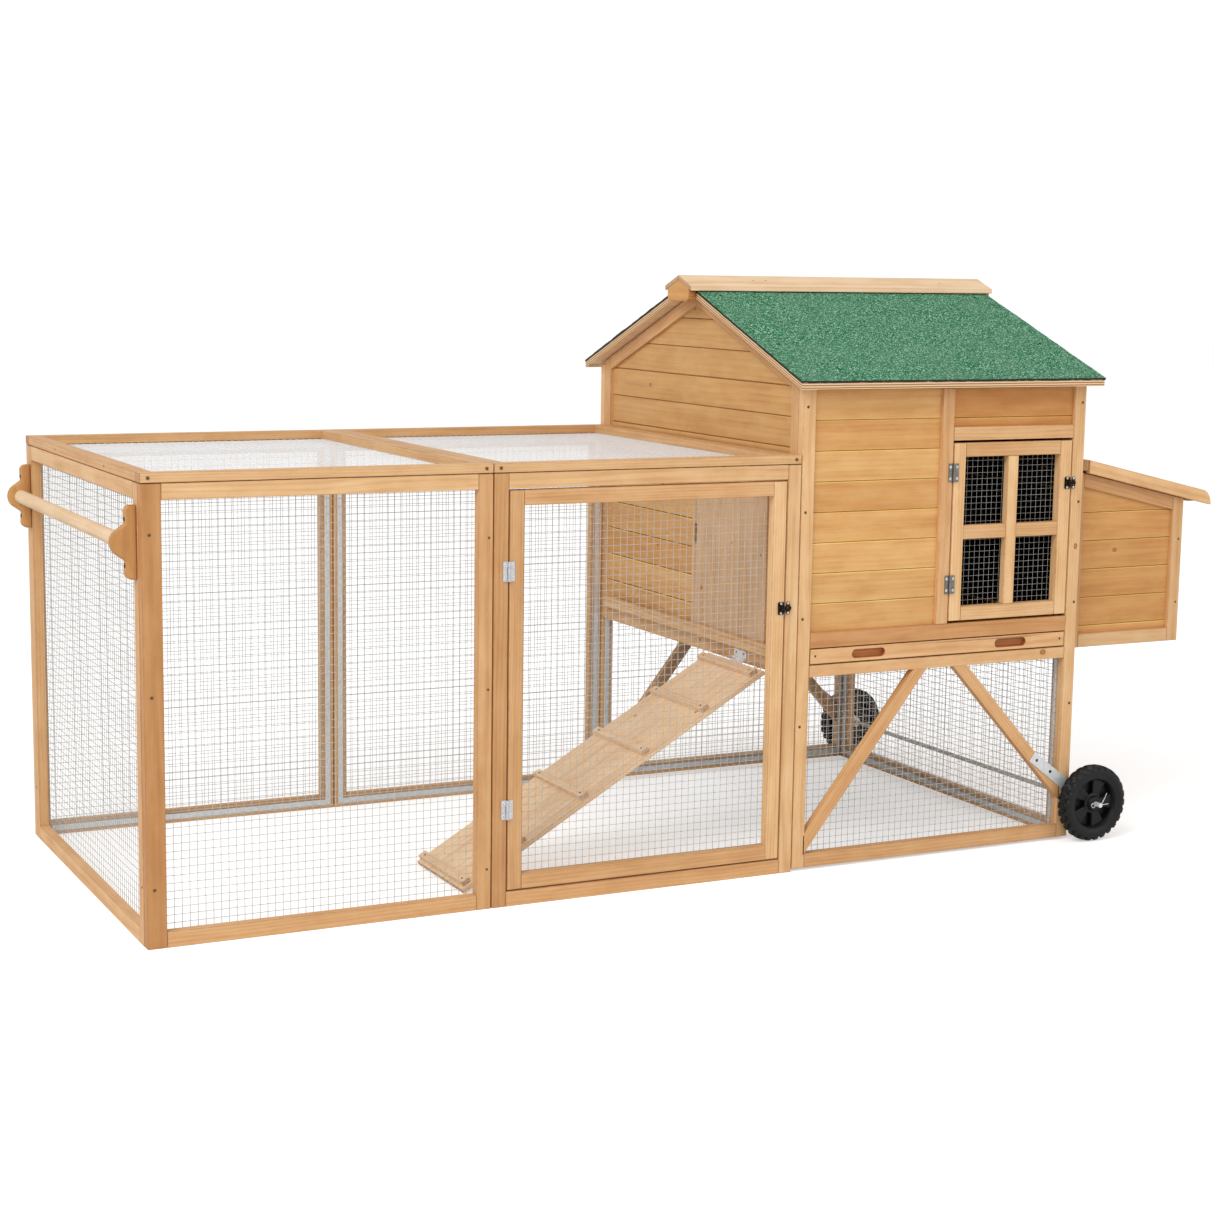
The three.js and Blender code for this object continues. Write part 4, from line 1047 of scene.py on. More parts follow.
def build_pop_door():
    door = Piece("pop_door_panel", "pop_door", bright=0.84)
    low, high = door.low, door.high
    slot_y, slot_z = high.y - 14, 648.0
    slot = arc((slot_y, slot_z + 18), 5, 0, 180, 10) + arc((slot_y, slot_z - 18), 5, 180, 360, 10)
    # Painted shade: a dark block behind the slot stands for the hollow seen through it.
    door.timber(((low.x + high.x) / 2, slot_y - 7, slot_z - 25), (high.x - 0.5, slot_y + 7, slot_z + 25),
                slot=1)
    joints = [low.y, low.y + 108, low.y + 212, high.y]
    for a, b in zip(joints, joints[1:]):
        door.plate(box_outline((a, low.z), (b, high.z)), X, (low.x, high.x), Z, edge=0.5,
                   holes=[slot] if b == joints[-1] else [], knots=0.7, tone=(1.04, 0.7))
    door.build([PALE_WOOD, DARK_STEEL_AND_SHADE], "pop_door")


def build_right_wall():
    piece = Piece("house_right_wall_timber", "house_right_wall")
    x = (HOUSE_RIGHT - TIMBER, HOUSE_RIGHT)
    board_x = (HOUSE_RIGHT - INSET - BOARD, HOUSE_RIGHT - INSET)
    trim_top = 760.0
    end_wall(piece, x, board_x, board_x[0], seam_list(trim_top, UPPER_RAIL[1], under_roof(MIDDLE)))
    inner = (INNER_FRONT + STILE, INNER_BACK - STILE)
    piece.dark = None
    for z in (HOUSE_BASE, LOW_RAIL[0]):
        piece.timber((x[0], inner[0], z), (x[1], inner[1], z + STILE))
    # The inner face of these boards looks into the house and gets painted shade, near black.
    piece.dark = (X, (board_x[0],))
    piece.timber((board_x[0], inner[0] - 3, LOW_RAIL[0] + STILE - 2),
                 (board_x[1], inner[1] + 3, UPPER_RAIL[0]), along=Y, slot=1)
    doorways = [box_outline((near, 482), (far, 730))
                for near, far in ((66, MIDDLE - 22), (MIDDLE + 22, DEPTH - 66))]
    piece.plate(box_outline((inner[0] - 3, UPPER_RAIL[0]), (inner[1] + 3, trim_top)), X,
                (board_x[0], HOUSE_RIGHT - 1), Y, slot=1, holes=doorways)
    piece.timber((x[0] - 16, 40, BEARER[0]), (x[0], DEPTH - 40, BEARER[1]))
    piece.timber((HOUSE_RIGHT + 0.5, NEST_INSET - 18, NEST_HINGE_Z - 23),
                 (HOUSE_RIGHT + 24, DEPTH - NEST_INSET + 18, NEST_HINGE_Z))
    piece.build(WALL_WOODS)


def build_under_house():
    z = (HOUSE_BASE + 9, LOW_RAIL[0] + 8)
    xs = (HOUSE_LEFT + 9, HOUSE_RIGHT - TIMBER - 1)
    ys = (INNER_FRONT + 9, INNER_BACK - 9)
    build_mesh("under_house", "under_house_mesh", [
        (Y, INNER_FRONT - 0.5, 1, xs, z, "lrbt"),
        (Y, INNER_BACK + 0.5, -1, xs, z, "lrbt"),
        (X, HOUSE_RIGHT - TIMBER, -1, ys, z, "lrbt")])


def build_window_door():
    piece = Piece("window_leaf_timber", "window_leaf")
    low, high = piece.low, piece.high
    add_frame(piece, Y, Z, tones=((1.07, 0.0), (1.05, 0.0), (1.0, 0.1), (0.97, 0.5)))
    mid = (low.x + high.x) / 2
    bar = (666.0, 695.0)
    piece.timber((mid - 13, low.y, low.z + STILE), (mid + 13, low.y + 16, high.z - STILE), tone=(1.04, 0.0))
    for xs in ((low.x + STILE, mid - 13), (mid + 13, high.x - STILE)):
        piece.timber((xs[0], low.y + 1.2, bar[0]), (xs[1], low.y + 15, bar[1]), along=X, tone=(0.98, 0.3))
    piece.build([PINE], "window_door")
    sheet = (Y, high.y, 1, inset_span("window_leaf", X), inset_span("window_leaf", Z), "lrbt")
    build_mesh("window", "window_mesh", [sheet], "window_door", FINE_PITCH, FINE_WIRE)


def build_tray():
    """The tray's front: a board with two finger slots over a plain board that closes them behind."""
    piece = Piece("tray_front_board", "tray_front", bright=1.07)
    low, high = piece.low, piece.high
    centre = (low.x + high.x) / 2
    z = (low.z + high.z) / 2
    slots = [arc((centre + c + 31, z), 9, -90, 90, 12) + arc((centre + c - 31, z), 9, 90, 270, 12)
             for c in (-177, 177)]
    sunk = 10.5
    piece.plate(box_outline((low.x, low.z), (high.x, high.z)), Y, (low.y, sunk), X, edge=1.0, side=3,
                holes=slots)
    piece.timber((low.x, sunk - 0.1, low.z), (high.x, high.y, high.z), along=X, slot=3)
    for x in (low.x + 12, high.x - 12):
        piece.screw((x, low.y, z + 1), (0, -1, 0), 2.6, 1, 2)
    piece.build([PINE, SCREW_DARK, DARK_STEEL_AND_SHADE, SHADED_WOOD], "tray")


def build_roost():
    # bright 0.25 is painted shade: the bar sits inside the unlit house.
    piece = Piece("roost_bar_rounded", "roost_bar", bright=0.25)
    low, high = piece.low, piece.high
    soft = 9.0
    outline = [(low.x, low.z), (high.x, low.z)]
    outline += arc((high.x - soft, high.z - soft), soft, 0, 90, 6)
    outline += arc((low.x + soft, high.z - soft), soft, 90, 180, 6)
    piece.plate(outline, Y, (low.y, high.y), Y)
    piece.build([PALE_WOOD])


# ---------------------------------------------------------------- the roof


def slope_height(y, sign):
    """Height of the felt's upper face on the front slope (sign 1) or the back slope (sign -1)."""
    return roof_height(y if sign > 0 else DEPTH - y)


def slope_normal(sign):
    return Vector((0, -sign * math.sin(ROOF_SLOPE), math.cos(ROOF_SLOPE)))


def felt_swell(x, y):
    """How far the felt stands off its board: slow waves, as a nailed sheet has."""
    return 0.5 * math.sin(x * 0.031 + y * 0.012) * math.sin(y * 0.037 + 1.3) + 0.3 * math.sin(x * 0.09)


def build_roof_boards(side, sign):
    node = "roof_boards_" + side
    piece = Piece(node + "_plywood", node)
    low, high = piece.low, piece.high
    ys = (low.y, high.y) if sign > 0 else (high.y, low.y)
    under, over = (depth / math.cos(ROOF_SLOPE) for depth in (FELT + ROOF_BOARD, FELT + 0.3))
    outline = [(ys[0], slope_height(ys[0], sign) - under), (ys[1], slope_height(ys[1], sign) - under),
               (ys[1], slope_height(ys[1], sign) - over), (ys[0], slope_height(ys[0], sign) - over)]
    corners = [Vector((x, y, z)) for x in (low.x, high.x) for y, z in outline]
    faces = [[0, 1, 2, 3], [4, 7, 6, 5], [0, 4, 5, 1], [1, 5, 6, 2], [2, 6, 7, 3], [3, 7, 4, 0]]
    grain = piece.grain(AXES[X], slope_normal(sign), low, high)
    grain.centre = sum(corners, Vector()) / 8
    grain.half = [(high.x - low.x) / 2000, 0.24, ROOF_BOARD / 2000]
    piece.solid(corners, faces, [1, 1, 0, 1, 0, 1], grain)
    piece.build([PALE_WOOD, PLY_EDGE])


def build_felt(side, sign):
    """A sheet of felt with a slightly ragged outline and a black lip round three of its sides."""
    node = "roof_felt_" + side
    piece = Piece(node + "_sheet", node)
    low, high = piece.low, piece.high
    columns, rows = 70, 40
    across = columns + 1
    lip = 2.2
    ragged = [piece.rng.uniform(-0.9, 0.9) for _ in range(columns + rows + 2)]
    normal = slope_normal(sign)

    def at(share_x, share_y):
        return (low.x + (high.x - low.x) * share_x,
                low.y + (high.y - low.y) * (share_y if sign > 0 else 1 - share_y))

    top, bottom = [], []
    for j in range(rows + 1):
        for i in range(across):
            x, y = at(i / columns, j / rows)
            if i in (0, columns):
                x += ragged[columns + j] if i else -ragged[columns + j]
            if j == 0:
                y -= sign * ragged[i]
            surface = Vector((x, y, slope_height(y, sign)))
            top.append(surface + normal * (felt_swell(x, y) * 0.6))
            bottom.append(surface - normal * (FELT + (lip if i in (0, columns) or j == 0 else 0.0)))
    count = len(top)
    faces, slots = [], []
    for j in range(rows):
        for i in range(columns):
            a = j * across + i
            faces.append([a, a + 1, a + 1 + across, a + across])
            faces.append([count + a, count + a + across, count + a + 1 + across, count + a + 1])
            slots += [0, 1]
    rim = list(range(columns)) + [columns + across * j for j in range(rows)]
    rim += [rows * across + i for i in range(columns, 0, -1)] + [across * j for j in range(rows, 0, -1)]
    faces += [[b, a, count + a, count + b] for a, b in zip(rim, rim[1:] + rim[:1])]
    slots += [1] * len(rim)
    piece.solid(top + bottom, faces, slots)
    for share in ((0.06, 0.85), (0.06, 0.35), (0.94, 0.85), (0.94, 0.35), (0.5, 0.93)):
        x, y = at(*share)
        piece.screw(Vector((x, y, slope_height(y, sign))) + normal * 0.4, normal, 3.2, 2, 2)
    piece.build([FELT_GREEN, BITUMEN, DARK_STEEL_AND_SHADE])


def build_ridge():
    """Two boards over the ridge and a shaped block closing each end."""
    piece = Piece("ridge_cap_boards", "ridge_cap")
    low, high = piece.low, piece.high
    top = high.z
    reach = 58.0
    thick = 9.6
    slope = math.tan(ROOF_SLOPE)
    for sign, lift in ((-1, 0.0), (1, -0.4)):
        far = MIDDLE + sign * reach
        near = MIDDLE + sign * 0.3
        outline = [(far, top - reach * slope - thick), (near, top - thick + lift), (near, top + lift),
                   (far, top - reach * slope)]
        piece.plate(outline, X, (low.x, high.x), X, tone=(1.01, 0.25))
    roof = span("roof_boards_front")
    half = 48.0
    shoulder = top - half * slope - thick + 0.3
    block = [(MIDDLE - half + 8, low.z), (MIDDLE + half - 8, low.z), (MIDDLE + half, low.z + 10),
             (MIDDLE + half, shoulder), (MIDDLE, top - thick + 0.3), (MIDDLE - half, shoulder),
             (MIDDLE - half, low.z + 10)]
    for xs in ((low.x + 0.6, roof[0].x - 1.5), (roof[1].x + 1.5, high.x - 0.6)):
        piece.plate(block, X, xs, Y, slot=2, edge=1.6, tone=(0.97, 0.5))
    for share in (0.22, 0.26, 0.84):
        x = low.x + (high.x - low.x) * share
        y = MIDDLE - 22 - 8 * share
        z = top - (MIDDLE - y) * slope
        piece.rod((x, y, z - 1), (x, y, z + 0.3), 1.7, 10, 1)
    piece.build([PALE_WOOD, DARK_STEEL_AND_SHADE, BOARD_WOOD])


# ---------------------------------------------------------------- the nest box

NEST_ALONG = Vector((math.cos(NEST_SLOPE), 0, -math.sin(NEST_SLOPE)))
NEST_SEAM = UPPER_RAIL[1] - PITCH + NEST_JOINT
LID_SIDE = 28.0               # height of the lid's sides


def lid_top(x):
    return NEST_HINGE_Z - 1 - (x - HOUSE_RIGHT - 28) * math.tan(NEST_SLOPE)


def nest_top(x):
    return lid_top(x) - LID_SIDE - 0.9


def clipped_row(inner, low, high):
    """A board of the nest's side between two heights, cut under the sloping rail."""
    reach = (inner[0] - 3, inner[1] + 3)
    roof = [nest_top(x) - 10 for x in reach]
    if low >= roof[0] - 4:
        return None
    run = (roof[0] - roof[1]) / (reach[1] - reach[0])
    top = min(high, roof[0])

    def far(z):
        return reach[1] if z <= roof[1] else reach[0] + (roof[0] - z) / run

    points = [(reach[0], low), (far(low), low)]
    if high > roof[1] > low + 1:
        points.append((reach[1], roof[1]))
    if far(top) > reach[0] + 1:
        points.append((far(top), top))
    return points + [(reach[0], top)]


def build_nest_side(side):
    node = "nest_side_" + side
    piece = Piece(node + "_timber", node, bright=0.9)
    low, high = piece.low, piece.high
    board = (low.y + INSET, low.y + INSET + BOARD)
    inner_face = board[1]
    if side == "back":
        board = (high.y - INSET - BOARD, high.y - INSET)
        inner_face = board[0]
    # The boards' inner face looks into the nest box and gets painted shade, near black.
    piece.dark = (Y, (inner_face,))
    ys = (low.y, high.y)
    inner = (low.x + STILE, high.x - STILE)
    for a, b in ((low.x, inner[0]), (inner[1], high.x)):
        piece.plate([(a, low.z), (b, low.z), (b, nest_top(b)), (a, nest_top(a))], Y, ys, Z)
    piece.timber((inner[0], ys[0], low.z), (inner[1], ys[1], low.z + STILE))
    upper = [(x, nest_top(x)) for x in inner]
    piece.plate([(x, z - STILE * 1.03) for x, z in upper] + upper[::-1], Y, ys, NEST_ALONG)
    seams = seam_list(low.z + STILE - 2, NEST_SEAM, nest_top(inner[0]))
    for a, b in zip(seams, seams[1:]):
        row = clipped_row(inner, a + SEAM, b)
        if row:
            tone = (piece.rng.uniform(1.03, 1.09), 0.6)
            piece.plate(row, Y, board, X, edge=GROOVE, slot=1, rim=2, knots=0.1, tone=tone)
        joint = clipped_row(inner, a - TONGUE, a + TONGUE)
        if a > seams[0] and joint:
            piece.plate(joint, Y, middle_of(board), X, slot=1, tone=JOINT_SHADE)
    piece.build(WALL_WOODS)


def build_nest_end():
    piece = Piece("nest_end_timber", "nest_end", bright=0.9)
    low, high = piece.low, piece.high
    board = (high.x - INSET - BOARD, high.x - INSET)
    # Faces that look into the nest box get painted shade, near black.
    piece.dark = (X, (low.x, board[0]))
    add_frame(piece, X, Z)
    seams = seam_list(low.z + STILE - 2, NEST_SEAM, high.z - STILE + 2)
    for a, b in zip(seams, seams[1:]):
        piece.timber((board[0], low.y + STILE - 3, a), (board[1], high.y - STILE + 3, b), along=Y,
                     edge=GROOVE, slot=1, rim=2, knots=0.3)
    piece.build(WALL_WOODS)


def build_nest_floor():
    piece = Piece("nest_floor_boards", "nest_floor")
    low, high = piece.low, piece.high
    # The floor's upper face lies inside the box and gets painted shade, near black.
    piece.dark = (Z, (high.z,))
    boards = 3
    width = (high.x - low.x) / boards
    for i in range(boards):
        piece.timber((low.x + width * i, low.y, low.z), (low.x + width * (i + 1), high.y, high.z), along=Y)
    piece.build([BOARD_WOOD])


def build_nest_divider():
    piece = Piece("nest_divider_board", "nest_divider")
    low, high = piece.low, piece.high
    # Both faces lie inside the box and get painted shade, near black.
    piece.dark = (Y, (low.y, high.y))
    outline = [(low.x, low.z), (high.x, low.z)] + [(x, nest_top(x) - 6) for x in (high.x, low.x)]
    piece.plate(outline, Y, (low.y, high.y), X)
    piece.build([BOARD_WOOD])


def build_lid():
    piece = Piece("nest_lid_boards", "nest_lid")
    low, high = piece.low, piece.high
    side = 16.0
    boards = 5
    sink = 4.0 / boards
    start = Vector((high.x, lid_top(high.x) - LID_SIDE + 4))
    middle = Vector((high.x - 4, lid_top(high.x - 24) - 3))
    end = Vector((high.x - 26, lid_top(high.x - 26)))
    nose = [tuple(start * (1 - t) ** 2 + middle * 2 * t * (1 - t) + end * t * t)
            for t in [i / 8 for i in range(9)]]
    outline = [(x, lid_top(x) - LID_SIDE) for x in (low.x, high.x)] + nose + [(low.x, lid_top(low.x))]
    for ys in ((low.y, low.y + side), (high.y - side, high.y)):
        piece.plate(outline, Y, ys, NEST_ALONG, edge=1.6)
    inner = (low.y + side, high.y - side)
    width = (high.x - 14 - low.x) / boards
    for i in range(boards):
        a, b = low.x + width * i, low.x + width * (i + 1)
        row = [(a, lid_top(a) - 14), (b, lid_top(b) - 14), (b, lid_top(b) - sink * (i + 1)),
               (a, lid_top(a) - sink * i)]
        piece.plate(row, Y, inner, Y, slot=1, edge=1.2)
    nose_x = (NEST_END + 10, NEST_END + 28)
    nose_top = lid_top(nose_x[1])
    piece.timber((nose_x[0], inner[0], nose_top - LID_SIDE), (nose_x[1], inner[1], nose_top - 10))
    piece.build([PINE, BOARD_WOOD], "nest_lid")


# ---------------------------------------------------------------- the ramp


def build_ramp():
    """Two long boards with cleats across, built lying level with the hinge at the origin."""
    # bright 1.15 is painted light: it lightens the boards for the light that the run's mesh and top keep off
    # them.
    piece = Piece("ramp_boards", "ramp", bright=1.15)
    pivot = Vector((HOUSE_LEFT - 5, 0, 405))
    ys = (112.0, 350.0)
    thick = 12.0
    length = 782.0
    clear = 0.8
    angle = math.asin((pivot.z - clear) / math.hypot(length, thick)) - math.atan2(thick, length)
    piece.matrix = Matrix.Translation(pivot) @ Matrix.Rotation(-angle, 4, "Y")
    seam = ys[0] + 104
    for a, b in ((ys[0], seam), (seam, ys[1])):
        piece.timber((-length, a, -thick), (-8, b, -3), along=X, knots=1.0)
    for share in (0.035, 0.2, 0.4, 0.6, 0.8, 0.98):
        at = -length * share
        start = ys[0] + 10 + piece.rng.uniform(-2, 2)
        skew = piece.rng.uniform(-1.5, 1.5)
        piece.timber((at - 9 + skew, start, -3.4), (at + 9 + skew, ys[1] - 1, 6.8), along=Y, edge=0.8)
        for y in (start + 16, ys[1] - 20):
            piece.screw((at + skew, y, 6.8), (0, 0, 1), 2.4, 1, 1)
    piece.build([PALE_WOOD, DARK_STEEL_AND_SHADE], "ramp")


# ---------------------------------------------------------------- the wheels


def tyre(piece, centre, outward):
    """A moulded tyre with a row of blocks on each shoulder, half a step apart."""
    lugs = 26
    half = 18.0
    profile = [(58, -half + 2.5), (66, -half), (73, -half + 0.8), (78, -half + 3.5), (81.4, -half + 7),
               (82.6, -half + 11), (83, -3), (83, 3), (82.6, half - 11), (81.4, half - 7),
               (78, half - 3.5), (73, half - 0.8), (66, half), (58, half - 2.5), (56, half - 6),
               (55.5, 0), (56, -half + 6)]

    def shape(radius, reach, angle):
        if radius < 75:
            return radius, reach
        slant = reach / half * 0.5
        shift = 0.5 if reach > 0 else 0.0
        phase = (angle / (2 * math.pi) * lugs + shift + slant) % 1.0
        groove = 1.0 if phase < 0.4 else 0.0
        if radius < 80:
            return radius - 2.6 * groove, reach * (1 - 0.1 * groove)
        shoulder = 1.0 if abs(reach) > 4 else 0.35
        return radius - 5.5 * groove * shoulder, reach

    piece.revolve(profile, centre, (0, outward, 0), lugs * 10, closed=True, shape=shape)


def mirrored(profile):
    """A profile of (radius, reach) and its mirror image, in one loop."""
    return profile + [(radius, -reach) for radius, reach in profile[::-1]]


def build_wheel(side, outward):
    """Tyre, dished rim, hub, a thin near-black web set back, and five spokes standing out of it.
    The web is painted shade: it closes the openings between the spokes.
    """
    node = "wheel_" + side
    piece = Piece(node + "_moulding", node)
    centre = (piece.low + piece.high) / 2
    axis = (0, outward, 0)
    tyre(piece, centre, outward)
    rim = [(60, 10), (58.5, 14.8), (56, 15.2), (54, 13.5), (52, 7), (50.5, 5.5)]
    piece.revolve(mirrored(rim), centre, axis, 120, closed=True)
    bore = AXLE_RADIUS + 0.5
    hub = [(bore, 14.5), (13, 15), (15.5, 13.5), (17, 7), (20, 5.6), (22, 5.2)]
    piece.revolve([(bore, -14.5)] + mirrored(hub)[:-1], centre, axis, 60, closed=True)
    # Painted shade: a near-black web closes the openings between the spokes.
    piece.revolve([(20, -7.5), (20, -6.0), (53, -6.0), (53, -7.5)], centre, axis, 60, slot=1, closed=True)
    spokes = 5
    for at in [360 * i / spokes for i in range(spokes)]:
        outer = arc((centre.x, centre.z), 52, at - 19, at + 19, 8)
        inner = arc((centre.x, centre.z), 19, at + 22, at - 22, 5)
        piece.plate(outer + inner, Y, (centre.y - 5.4, centre.y + 5.4), edge=1.3)
    piece.build([PLASTIC, WHEEL_GAP_SHADE], node)


def build_axle_strap(side, outward):
    """The sloping steel strap that holds the axle, with three screws."""
    node = "wheel_bracket_" + side
    piece = Piece(node + "_strap", node)
    low, high = piece.low, piece.high
    foot = Vector((AXLE_X, WHEEL_RADIUS))
    head = foot + Vector((-141, 107))
    half = 12.0
    along = (head - foot).normalized()
    across = Vector((-along.y, along.x)) * half
    turn = math.degrees(math.atan2(along.y, along.x))
    outline = [tuple(head - across), tuple(head + across)] + arc(foot, half, turn + 90, turn + 270, 16)
    hole = arc(foot, AXLE_RADIUS + 0.4, 0, 345, 23)
    piece.plate(outline, Y, (low.y, high.y), edge=0.5, holes=[hole])
    face_y = low.y if outward < 0 else high.y
    for share, slot in ((0.92, 1), (0.66, 2), (0.36, 1)):
        at = foot.lerp(head, share)
        piece.screw((at.x, face_y, at.y), (0, outward, 0), 3.6, slot, 2)
    piece.build([STRIP_METAL, SCREW_DARK, DARK_STEEL_AND_SHADE])


def build_split_pin(side, outward):
    """A split pin: its eye on one side of the axle, its two legs spread on the other."""
    node = "wheel_clip_" + side
    pin = Piece(node + "_split_pin", node)
    x, y, z = AXLE_X, (pin.low.y + pin.high.y) / 2, WHEEL_RADIUS
    eye = 4.6
    for lay, turn, reach, rise in ((-0.75, 1, 13, 25), (0.75, -1, 17, 1)):
        lay *= outward
        angles = [math.radians(degrees) for degrees in range(180, -1, -20)]
        path = [(x - 15 + eye * math.cos(a), y + lay * 0.3, z + eye * math.sin(a) * turn) for a in angles]
        path += [(x - 6, y + lay, z), (x + 6, y + lay, z)]
        path += [(x + 6 + reach * t, y + lay + outward * 2 * t, z + rise * t ** 1.3) for t in (0.3, 0.6, 1.0)]
        pin.tube(path, 0.9, 10)
    pin.build([ZINC])


# ---------------------------------------------------------------- latches, hinges and screws


def build_latch(node, body, door):
    """A small black turn latch: a plate on the door, a keeper on the frame, and the turning piece."""
    turn = Piece(node + "_turn", node)
    low, high = turn.low, turn.high
    boss_x = low.x + 9
    z = (low.z + high.z) / 2
    face = high.y
    half = 13.0
    soft = 3.2
    for name, carrier, near, far in (("plate", door, boss_x - 6.5, boss_x + 7.5),
                                     ("keeper", "root", boss_x + 12.6, boss_x + 21.0)):
        outline = []
        for start, u, v in ((-90, far - soft, -half + soft), (0, far - soft, half - soft),
                            (90, near + soft, half - soft), (180, near + soft, -half + soft)):
            outline += arc((u, z + v), soft, start, start + 90, 5)
        base = Piece(f"{node}_{name}")
        base.plate(outline, Y, (face - 1.4, face + 0.2), edge=0.6)
        for dz in (half - 3.4, -half + 3.4):
            base.screw(((near + far) / 2, face - 1.3, z + dz), (0, -1, 0), 2.5, 1, 2)
        base.build([DARK_METAL, BRIGHT_STEEL, DARK_STEEL_AND_SHADE], carrier)

    turn.revolve([(0, 0), (6.0, 0), (6.3, 1.0), (5.6, 2.4), (4.6, 3.0), (4.2, 5.2), (0, 5.6)],
                 (boss_x, face - 1.6, z), (0, -1, 0), 32)
    lobe = high.x - 7.5
    tongue = [(boss_x, z - 4.6), (lobe - 4, z - 4.2)] + arc((lobe, z), 6.2, -140, 140, 14)
    tongue += [(lobe - 4, z + 4.2), (boss_x, z + 4.6)]
    turn.plate(tongue, Y, (face - 4.8, face - 2.3), edge=0.8)
    wing = arc((boss_x, z + 5.2), 3.2, 10, 170, 8) + arc((boss_x, z - 5.2), 3.2, 190, 350, 8)
    turn.plate(wing, Y, (low.y, face - 6.6), edge=0.9)
    turn.build([DARK_METAL], body)


def dress_hinge(name, door, metal):
    """Screw heads on both leaves of an upright butt hinge. The leaves themselves are the CAD's."""
    for part, body in (("fixed", "root"), ("moving", door)):
        node = f"{name}_{part}"
        low, high = span(node)
        screws = Piece(node + "_screws")
        x = low.x + 4.0 if part == "fixed" else high.x - 4.0
        for z in (low.z + 7, high.z - 7):
            screws.screw((x, high.y - 1.5, z), (0, -1, 0), 2.7)
        screws.build([BRIGHT_STEEL, DARK_STEEL_AND_SHADE], body)
        dress_cad(node, metal, 0.0003)


def dress_ramp_hinge():
    """Dark screws in the upright leaf of the ramp's bright hinge."""
    low, high = span("ramp_hinge_fixed")
    screws = Piece("ramp_hinge_screws")
    for y in (low.y + 9, high.y - 9):
        screws.screw((HOUSE_LEFT - 1.8, y, high.z - 7), (-1, 0, 0), 2.8, 0, 0)
    screws.build([DARK_STEEL_AND_SHADE])
    for node in ("ramp_hinge_fixed", "ramp_hinge_moving"):
        dress_cad(node, BRIGHT_STEEL, 0.0002)


def dress_cad(node, material, soften):
    """A carried-over CAD part: its own shape, with softened edges and a node material."""
    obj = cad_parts[node]
    obj.data.materials.clear()
    obj.data.materials.append(material)
    bevel = obj.modifiers.new("soft_edges", "BEVEL")
    bevel.width = soften
    bevel.segments = 2
    bevel.limit_method = "ANGLE"
    bevel.angle_limit = math.radians(40)
    bevel.harden_normals = True


def build_run_screws():
    """Countersunk screws through the run's frames."""
    screws = Piece("run_frame_screws")
    lid = span("run_top_frame_left")
    lid_z = (lid[0].z + lid[1].z) / 2
    bay_end = span("run_front_frame")[1].x
    run_end = span("run_door_surround")[1].x
    for y, out in ((0.0, -1), (DEPTH, 1)):
        for x in (14, bay_end - 14, bay_end + 15, run_end - 12):
            screws.screw((x, y, lid_z), (0, out, 0), 3.4)
        for z in (742, 455, 108):
            screws.screw((15, y, z), (0, out, 0), 3.4)
            screws.screw((bay_end - 9, y, z - 30), (0, out, 0), 2.8)
    for y in (250, 640):
        screws.screw((0, y, lid_z), (-1, 0, 0), 2.4)
    for y in (MIDDLE - 425, MIDDLE + 425):
        for z in (742, 108):
            screws.screw((0, y, z), (-1, 0, 0), 3.0)
    screws.build([SCREW_DARK, DARK_STEEL_AND_SHADE])


def build_house_screws():
    """Countersunk screws through the house's posts, and small plugs on the nest box."""
    screws = Piece("house_screws")
    for y, out in ((0.0, -1), (DEPTH, 1)):
        for x in (HOUSE_LEFT + 10, HOUSE_RIGHT - 9):
            for z in (300, 520, 735, 945):
                screws.screw((x, y, z), (0, out, 0), 3.2)
    for y, out in ((NEST_INSET, -1), (DEPTH - NEST_INSET, 1)):
        for z in (500, 640):
            screws.screw((NEST_END - 9, y, z), (0, out, 0), 2.8)
    screws.build([SCREW_DARK, DARK_STEEL_AND_SHADE])


build_run()
build_handle()
long_wall("house_front_wall", 0.0, 1, front_details)
long_wall("house_back_wall", DEPTH, -1, back_details)
build_left_wall()
build_pop_door()
build_right_wall()
build_under_house()
build_window_door()
build_tray()
build_roost()
for slope_side, slope_sign in (("front", 1), ("back", -1)):
    build_roof_boards(slope_side, slope_sign)
    build_felt(slope_side, slope_sign)
build_ridge()
for nest_side in ("front", "back"):
    build_nest_side(nest_side)
build_nest_end()
build_nest_floor()
build_nest_divider()
build_lid()
build_ramp()
for wheel_side, wheel_out in (("front", -1), ("back", 1)):
    build_wheel(wheel_side, wheel_out)
    build_axle_strap(wheel_side, wheel_out)
    build_split_pin(wheel_side, wheel_out)
build_latch("run_door_latch", "run_door_latch", "run_door")
build_latch("window_latch", "window_latch", "window_door")
for hinge in ("run_door_hinge_upper", "run_door_hinge_lower"):
    dress_hinge(hinge, "run_door", ZINC)
for hinge in ("window_hinge_upper", "window_hinge_lower"):
    dress_hinge(hinge, "window_door", HINGE_STEEL)
dress_ramp_hinge()
for hinge in ("nest_lid_hinge_fixed", "nest_lid_hinge_moving"):
    dress_cad(hinge, ZINC, 0.0002)
dress_cad("axle", STRIP_METAL, 0.0006)
dress_cad("tray_pan", TRAY_METAL, 0.0004)
build_run_screws()
build_house_screws()

# ---------------------------------------------------------------- floor, light and camera

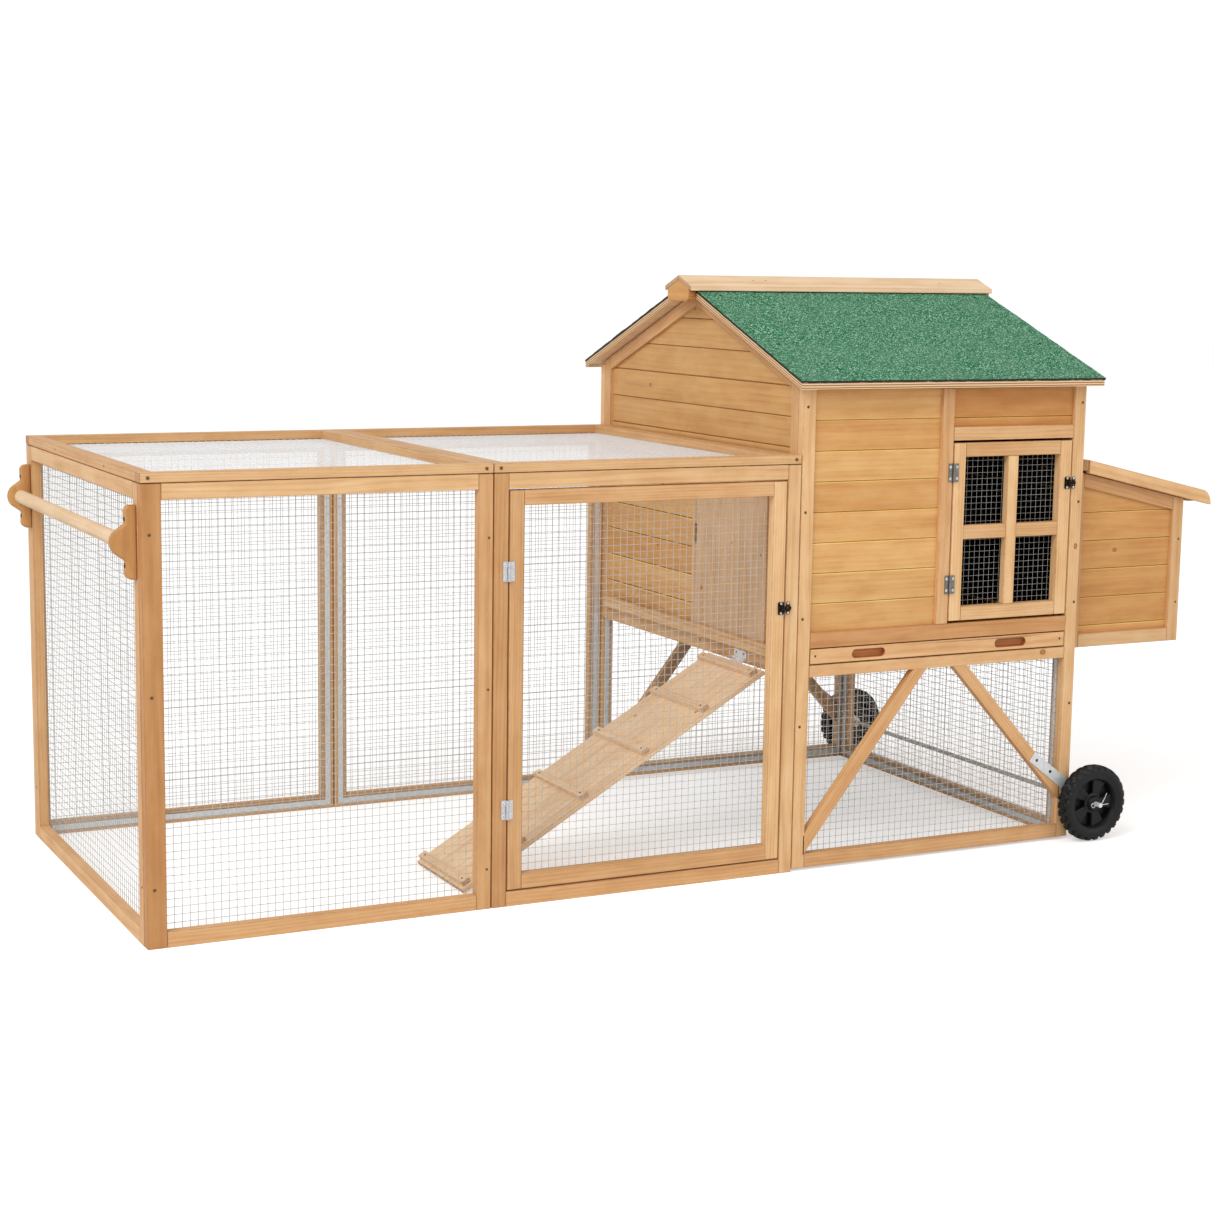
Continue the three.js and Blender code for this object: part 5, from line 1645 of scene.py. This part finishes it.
VIEW_AZIMUTH = math.radians(-26.515)
VIEW_ELEVATION = math.radians(8.546)
VIEW_ROLL = math.radians(0.839)
VIEW_FROM = Vector((-2.181, -4.284, 1.212))
LENS = 67.0
LIGHT_AT = Vector((0.1, 0.0, 0.45))
KEY_FROM, KEY_SIZE, KEY_POWER = (-6.6, -4.4, 7.2), 5.4, 510.0
FILL_FROM, FILL_SIZE, FILL_POWER = (5.0, -7.0, 4.4), 4.0, 105.0
FLOOR_GLOW = 0.42
SKY = 0.68                    # the sky's light on the coop
SKY_SEEN = 1.05               # and the backdrop that the camera sees
WHITE = (1.0, 1.0, 1.0, 1.0)


def build_stage():
    """A pale floor. It looks white to the camera, and throws less light than that on the coop."""
    floor = Recipe("pale_floor", roughness=0.9)
    patches = floor.noise(floor.place(), 3.0, 3.0)
    floor.set("Base Color", floor.mix(patches, (0.84, 0.84, 0.84, 1), (0.87, 0.87, 0.87, 1)))
    floor.set("Specular IOR Level", 0.0)
    floor.set("Emission Color", WHITE)
    seen = floor.node("ShaderNodeLightPath", {}, "Is Camera Ray")
    floor.set("Emission Strength", seen * FLOOR_GLOW)
    mesh = bpy.data.meshes.new("floor")
    reach = 30.0
    corners = [(x * reach, y * reach, 0) for x, y in ((-1, -1), (1, -1), (1, 1), (-1, 1))]
    mesh.from_pydata(corners, [], [(0, 1, 2, 3)])
    mesh.materials.append(floor.material)
    obj = bpy.data.objects.new("floor", mesh)
    bpy.context.scene.collection.objects.link(obj)


def build_light():
    world = bpy.data.worlds.new("studio")
    bpy.context.scene.world = world
    world.use_nodes = True
    tree = world.node_tree
    soft = tree.nodes["Background"]
    seen = tree.nodes.new("ShaderNodeBackground")
    for background, strength in ((soft, SKY), (seen, SKY_SEEN)):
        background.inputs["Color"].default_value = WHITE
        background.inputs["Strength"].default_value = strength
    path = tree.nodes.new("ShaderNodeLightPath")
    mix = tree.nodes.new("ShaderNodeMixShader")
    tree.links.new(path.outputs["Is Camera Ray"], mix.inputs[0])
    tree.links.new(soft.outputs[0], mix.inputs[1])
    tree.links.new(seen.outputs[0], mix.inputs[2])
    tree.links.new(mix.outputs[0], tree.nodes["World Output"].inputs[0])
    for name, place, size, power in (("key", KEY_FROM, KEY_SIZE, KEY_POWER),
                                     ("fill", FILL_FROM, FILL_SIZE, FILL_POWER)):
        lamp = bpy.data.lights.new(name, "AREA")
        lamp.size = size
        lamp.energy = power
        obj = bpy.data.objects.new(name, lamp)
        obj.location = place
        obj.rotation_euler = (LIGHT_AT - Vector(place)).to_track_quat("-Z", "Y").to_euler()
        bpy.context.scene.collection.objects.link(obj)


def build_camera():
    camera = bpy.data.objects.new("camera", bpy.data.cameras.new("camera"))
    camera.data.lens = LENS
    camera.data.sensor_width = 36.0
    sin_a, cos_a = math.sin(VIEW_AZIMUTH), math.cos(VIEW_AZIMUTH)
    sin_e, cos_e = math.sin(VIEW_ELEVATION), math.cos(VIEW_ELEVATION)
    back = Vector((sin_a * cos_e, -cos_a * cos_e, sin_e))
    level = Vector((cos_a, sin_a, 0))
    over = back.cross(level)
    right = level * math.cos(VIEW_ROLL) + over * math.sin(VIEW_ROLL)
    up = over * math.cos(VIEW_ROLL) - level * math.sin(VIEW_ROLL)
    turn = Matrix((right, up, back)).transposed().to_4x4()
    camera.matrix_world = Matrix.Translation(VIEW_FROM) @ turn
    bpy.context.scene.collection.objects.link(camera)
    bpy.context.scene.camera = camera
    bpy.context.scene.view_settings.view_transform = "Standard"


build_stage()
build_light()
build_camera()
